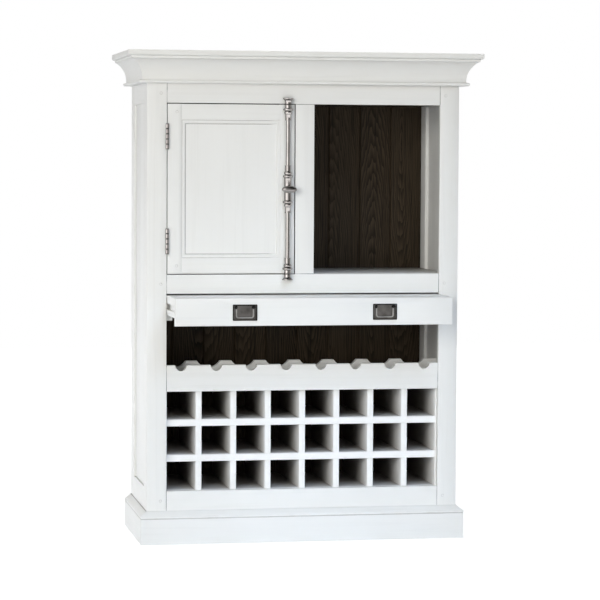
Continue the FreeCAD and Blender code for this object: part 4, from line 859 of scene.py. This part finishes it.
def choose_edges(piece, test):
    """Selects the edges that pass a test on their middle and run."""
    bpy.ops.mesh.select_mode(type="EDGE")
    mesh = bmesh.from_edit_mesh(piece.data)
    for edge in mesh.edges:
        first, last = edge.verts[0].co, edge.verts[1].co
        edge.select_set(bool(test((first + last) / 2, (last - first).normalized())))
    mesh.select_flush_mode()
    bmesh.update_edit_mesh(piece.data)


def pull_plate(middle_x):
    """One plate: a thin block with a sunk border, a raised lip, a dish and the cup behind it."""
    bpy.ops.object.select_all(action="DESELECT")
    centre = (middle_x, (PLATE_FRONT + PLATE_BACK) / 2, PULL_Z)
    bpy.ops.mesh.primitive_cube_add(size=1.0, location=centre)
    bpy.context.object.scale = (PLATE_WIDTH, PLATE_BACK - PLATE_FRONT, PLATE_HEIGHT)
    piece = opened("pull_plate")
    choose_faces(piece, lambda middle, normal: normal.y > 0.9)
    bpy.ops.mesh.inset(thickness=RIM)
    wider, higher = CUP_WIDTH / (PLATE_WIDTH - 2 * RIM), CUP_HEIGHT / (PLATE_HEIGHT - 2 * RIM)
    bpy.ops.transform.resize(value=(wider, 1.0, higher), center_override=centre)
    bpy.ops.mesh.extrude_region_move(TRANSFORM_OT_translate={"value": (0.0, CUP_DEPTH, 0.0)})
    choose_faces(piece, lambda middle, normal: normal.y < -0.9)
    for narrower, deeper in BORDER_STEPS:
        bpy.ops.mesh.inset(thickness=narrower)
        bpy.ops.transform.translate(value=(0.0, deeper, 0.0))
    bpy.ops.mesh.inset(thickness=0.0004)
    bpy.ops.mesh.extrude_region_move(TRANSFORM_OT_translate={"value": (0.0, DISH_DEPTH, 0.0)})
    choose_edges(piece, lambda middle, run: abs(run.y) > 0.99 and abs(middle.x - middle_x) < 0.032)
    bpy.ops.mesh.bevel(offset=0.004, segments=3, affect="EDGES")
    choose_edges(piece, lambda middle, run: abs(run.y) > 0.99 and abs(middle.x - middle_x) > 0.0355)
    bpy.ops.mesh.bevel(offset=0.002, segments=3, affect="EDGES")
    choose_edges(piece, lambda middle, run: abs(run.y) < 0.1 and middle.y < PLATE_FRONT + 0.0001)
    bpy.ops.mesh.bevel(offset=0.0003, segments=2, affect="EDGES")
    bpy.ops.mesh.select_all(action="SELECT")
    bpy.ops.mesh.normals_make_consistent(inside=False)
    bpy.ops.object.mode_set(mode="OBJECT")
    for way in (-1, 1):
        place = (middle_x + way * 0.0315, PIVOT_Y, PIVOT_Z)
        turn = (0.0, math.radians(90), 0.0)
        drilled(piece, "pivot_hole", vertices=20, radius=0.0026, depth=0.006, location=place, rotation=turn)
    only(piece)
    bpy.ops.object.shade_smooth_by_angle(angle=math.radians(30))
    return piece


def plate_pin(middle_x):
    """A small domed pin driven through the upper right corner of a plate."""
    bpy.ops.object.select_all(action="DESELECT")
    place = (middle_x + PIN_ASIDE, PLATE_FRONT - 0.0001, PULL_Z + PIN_ABOVE)
    bpy.ops.mesh.primitive_cylinder_add(
        vertices=16, radius=0.0011, depth=0.0012, location=place, rotation=(math.radians(90), 0, 0)
    )
    piece = opened("plate_pin")
    choose_faces(piece, lambda middle, normal: normal.y < -0.9)
    bpy.ops.mesh.bevel(offset=0.0004, segments=3, affect="EDGES")
    closed(40)
    return piece


plates = [pull_plate(middle_x) for middle_x in PULL_XS]
pins = []
for middle_x in PULL_XS:
    for way_x in (-1, 1):
        for way_z in (-1, 1):
            pin = plate_pin(middle_x)
            shift = Vector(((way_x - 1) * PIN_ASIDE, 0.0, (way_z - 1) * PIN_ABOVE))
            pin.data.transform(Matrix.Translation(shift))
            pins.append(pin)
only(plates[0])
for piece in plates[1:] + pins:
    piece.select_set(True)
bpy.ops.object.join()
plates[0].name = "pull_plates_cast"
finish_piece(plates[0], pewter, "tray", "pewter", "pull_plates")


def bent_wire(name, middle_x):
    """A bail: round wire run out from one pivot, bent four times, and back to the other."""
    bpy.ops.object.select_all(action="DESELECT")
    bpy.ops.mesh.primitive_circle_add(
        vertices=16,
        radius=WIRE,
        location=(middle_x - 0.032, PIVOT_Y, PIVOT_Z),
        rotation=(0, math.radians(90), 0),
        fill_type="NGON",
    )
    piece = opened(name)
    bpy.ops.mesh.select_all(action="SELECT")
    foot = PIVOT_Z - 0.031
    runs = (
        ((0.004, 0, 0), (middle_x - 0.028, PIVOT_Z - 0.003), 1),
        ((0, 0, -0.0215), (middle_x - 0.0185, foot + 0.0065), -1),
        ((0.037, 0, 0), (middle_x + 0.0185, foot + 0.0065), -1),
        ((0, 0, 0.0215), (middle_x + 0.028, PIVOT_Z - 0.003), 1),
        ((0.004, 0, 0), None, 0),
    )
    for step, corner, way in runs:
        bpy.ops.mesh.extrude_region_move(TRANSFORM_OT_translate={"value": step})
        if corner:
            centre = (corner[0], PIVOT_Y, corner[1])
            bpy.ops.mesh.spin(steps=6, angle=math.radians(-90) * way, center=centre, axis=(0, 1, 0))
    bpy.ops.mesh.select_all(action="SELECT")
    bpy.ops.mesh.remove_doubles(threshold=0.00001)
    bpy.ops.mesh.normals_make_consistent(inside=False)
    closed(40)
    return piece


for side, middle_x in zip(("left", "right"), PULL_XS):
    bail = bent_wire(f"pull_bail_wire_{side}", middle_x)
    finish_piece(bail, bail_metal, f"bail_{side}", "pewter", f"pull_bail_{side}")

# STUDIO
# A pale floor that keeps a faint shadow, a white surround, soft lamps and the camera.
# Bright metal also sees a window on the left and a dim room on the right.
FLOOR_SIZE = 14.0
ROOM_GAIN = 1.75
ROOM_BEARINGS = (
    ((-180, 0.6), (-120, 0.48), (-84, 0.36), (-66, 0.5), (-56, 1.0))
    + ((-32, 1.0), (-22, 0.5), (-12, 0.3), (2, 0.26), (24, 0.09))
    + ((52, 0.06), (78, 0.2), (100, 0.38), (130, 0.55), (180, 0.6))
)
CAMERA_PLACE = (-1.3596, -7.5904, 1.1568)
CAMERA_YAW, CAMERA_PITCH, CAMERA_ROLL = 10.605, 3.367, -0.301
CAMERA_LENS, CAMERA_SENSOR = 146.868, 36.0
bpy.ops.object.select_all(action="DESELECT")
bpy.ops.mesh.primitive_plane_add(size=FLOOR_SIZE, location=(0.0, 0.0, 0.0))
floor = bpy.context.object
floor.name = "studio_floor"
floor_finish = bpy.data.materials.new("studio_floor_white")
floor_finish.use_nodes = True
tree = floor_finish.node_tree
tree.nodes.clear()
path = add(tree, "ShaderNodeLightPath")
seen = sums(tree, "MAXIMUM", path.outputs["Is Camera Ray"], path.outputs["Is Glossy Ray"])
shown = sums(tree, "MAXIMUM", seen, path.outputs["Is Transmission Ray"])
out = length(tree, add(tree, "ShaderNodeTexCoord").outputs["Object"])
share = sums(tree, "MULTIPLY", shown, ranged(tree, out, 1.0, 4.0, 0.78, 1.0))
matt = add(tree, "ShaderNodeBsdfDiffuse", Color=(0.80, 0.83, 0.87, 1.0))
white = add(tree, "ShaderNodeEmission", Color=(1.0, 1.0, 1.0, 1.0), Strength=1.2)
blended = add(tree, "ShaderNodeMixShader", _0=share, _1=matt.outputs[0], _2=white.outputs[0])
result = add(tree, "ShaderNodeOutputMaterial")
tree.links.new(blended.outputs[0], result.inputs["Surface"])
floor.data.materials.append(floor_finish)

world = bpy.data.worlds.new("studio_surround")
bpy.context.scene.world = world
world.use_nodes = True
tree = world.node_tree
tree.nodes.clear()
path = add(tree, "ShaderNodeLightPath")
shown = sums(tree, "MAXIMUM", path.outputs["Is Camera Ray"], path.outputs["Is Transmission Ray"])
parts = add(tree, "ShaderNodeSeparateXYZ", Vector=add(tree, "ShaderNodeTexCoord").outputs["Generated"])
bearing = sums(tree, "ARCTAN2", parts.outputs["X"], sums(tree, "MULTIPLY", parts.outputs["Y"], -1.0))
round_share = ranged(tree, bearing, -math.pi, math.pi, 0.0, 1.0)
room = add(tree, "ShaderNodeValToRGB", _0=round_share)
ramp = room.color_ramp
while len(ramp.elements) < len(ROOM_BEARINGS):
    ramp.elements.new(0.5)
for stop, (degrees, level) in zip(ramp.elements, ROOM_BEARINGS):
    stop.position = (degrees + 180) / 360
    stop.color = (level, level, level, 1.0)
overhead = ranged(tree, parts.outputs["Z"], 0.35, 0.8, 1.0, 0.25)
mirrored = sums(tree, "MULTIPLY", room.outputs["Color"], sums(tree, "MULTIPLY", overhead, ROOM_GAIN))
ambient = add(tree, "ShaderNodeBackground", Color=(1.0, 0.97, 0.92, 1.0), Strength=0.07)
glint = add(tree, "ShaderNodeBackground", Color=(1.0, 0.985, 0.97, 1.0), Strength=mirrored)
clear = add(tree, "ShaderNodeBackground", Color=(1.0, 1.0, 1.0, 1.0), Strength=1.0)
mirror_ray = path.outputs["Is Glossy Ray"]
inner = add(tree, "ShaderNodeMixShader", _0=mirror_ray, _1=ambient.outputs[0], _2=glint.outputs[0])
blended = add(tree, "ShaderNodeMixShader", _0=shown, _1=inner.outputs[0], _2=clear.outputs[0])
result = add(tree, "ShaderNodeOutputWorld")
tree.links.new(blended.outputs[0], result.inputs["Surface"])


def lamp(name, place, aim, size, power, colour, spread=180):
    """A soft square lamp turned towards a point, kept out of reflections."""
    data = bpy.data.lights.new(name, "AREA")
    data.size = size
    data.energy = power
    data.color = colour
    data.spread = math.radians(spread)
    made = bpy.data.objects.new(name, data)
    bpy.context.scene.collection.objects.link(made)
    made.location = place
    made.rotation_euler = (Vector(aim) - Vector(place)).to_track_quat("-Z", "Y").to_euler()
    made.visible_glossy = False


lamp("window_left", (-4.4, -6.5, 2.1), (0.0, -0.3, 0.7), 3.0, 298.0, (1.0, 0.982, 0.93))
lamp("screen_front", (0.6, -5.4, 0.5), (0.0, -0.4, 0.9), 2.0, 49.0, (1.0, 0.975, 0.93))
lamp("screen_high", (0.5, -2.6, 2.1), (0.05, -0.45, 0.15), 1.4, 2.7, (0.62, 0.78, 1.0), spread=34)
lamp("screen_left", (-4.5, 0.6, 0.3), (-0.47, -0.2, 0.25), 1.6, 6.6, (0.90, 0.94, 1.0), spread=34)
lamp("screen_above", (0.0, -1.3, 4.2), (0.0, -0.4, 0.7), 2.2, 25.0, (1.0, 0.99, 0.97))
lamp("screen_top", (0.0, 0.6, 3.6), (0.0, -0.2, 1.4), 1.6, 14.0, (1.0, 0.99, 0.97))
lamp("screen_behind", (2.0, 5.5, 1.8), (0.0, 0.0, 0.7), 3.0, 210.0, (1.0, 0.99, 0.97))

scene = bpy.context.scene
scene.view_settings.view_transform = "Standard"
camera_data = bpy.data.cameras.new("photo_camera")
camera = bpy.data.objects.new("photo_camera", camera_data)
scene.collection.objects.link(camera)
camera_data.sensor_width = CAMERA_SENSOR
camera_data.lens = CAMERA_LENS
yaw, pitch, roll = math.radians(CAMERA_YAW), math.radians(CAMERA_PITCH), math.radians(CAMERA_ROLL)
ahead = Vector((math.sin(yaw) * math.cos(pitch), math.cos(yaw) * math.cos(pitch), -math.sin(pitch)))
right = Vector((math.cos(yaw), -math.sin(yaw), 0.0))
down = ahead.cross(right)
level_right = math.cos(roll) * right + math.sin(roll) * down
level_down = -math.sin(roll) * right + math.cos(roll) * down
turn = Matrix((level_right, -level_down, -ahead)).transposed()
camera.location = CAMERA_PLACE
camera.rotation_euler = turn.to_euler()
scene.camera = camera
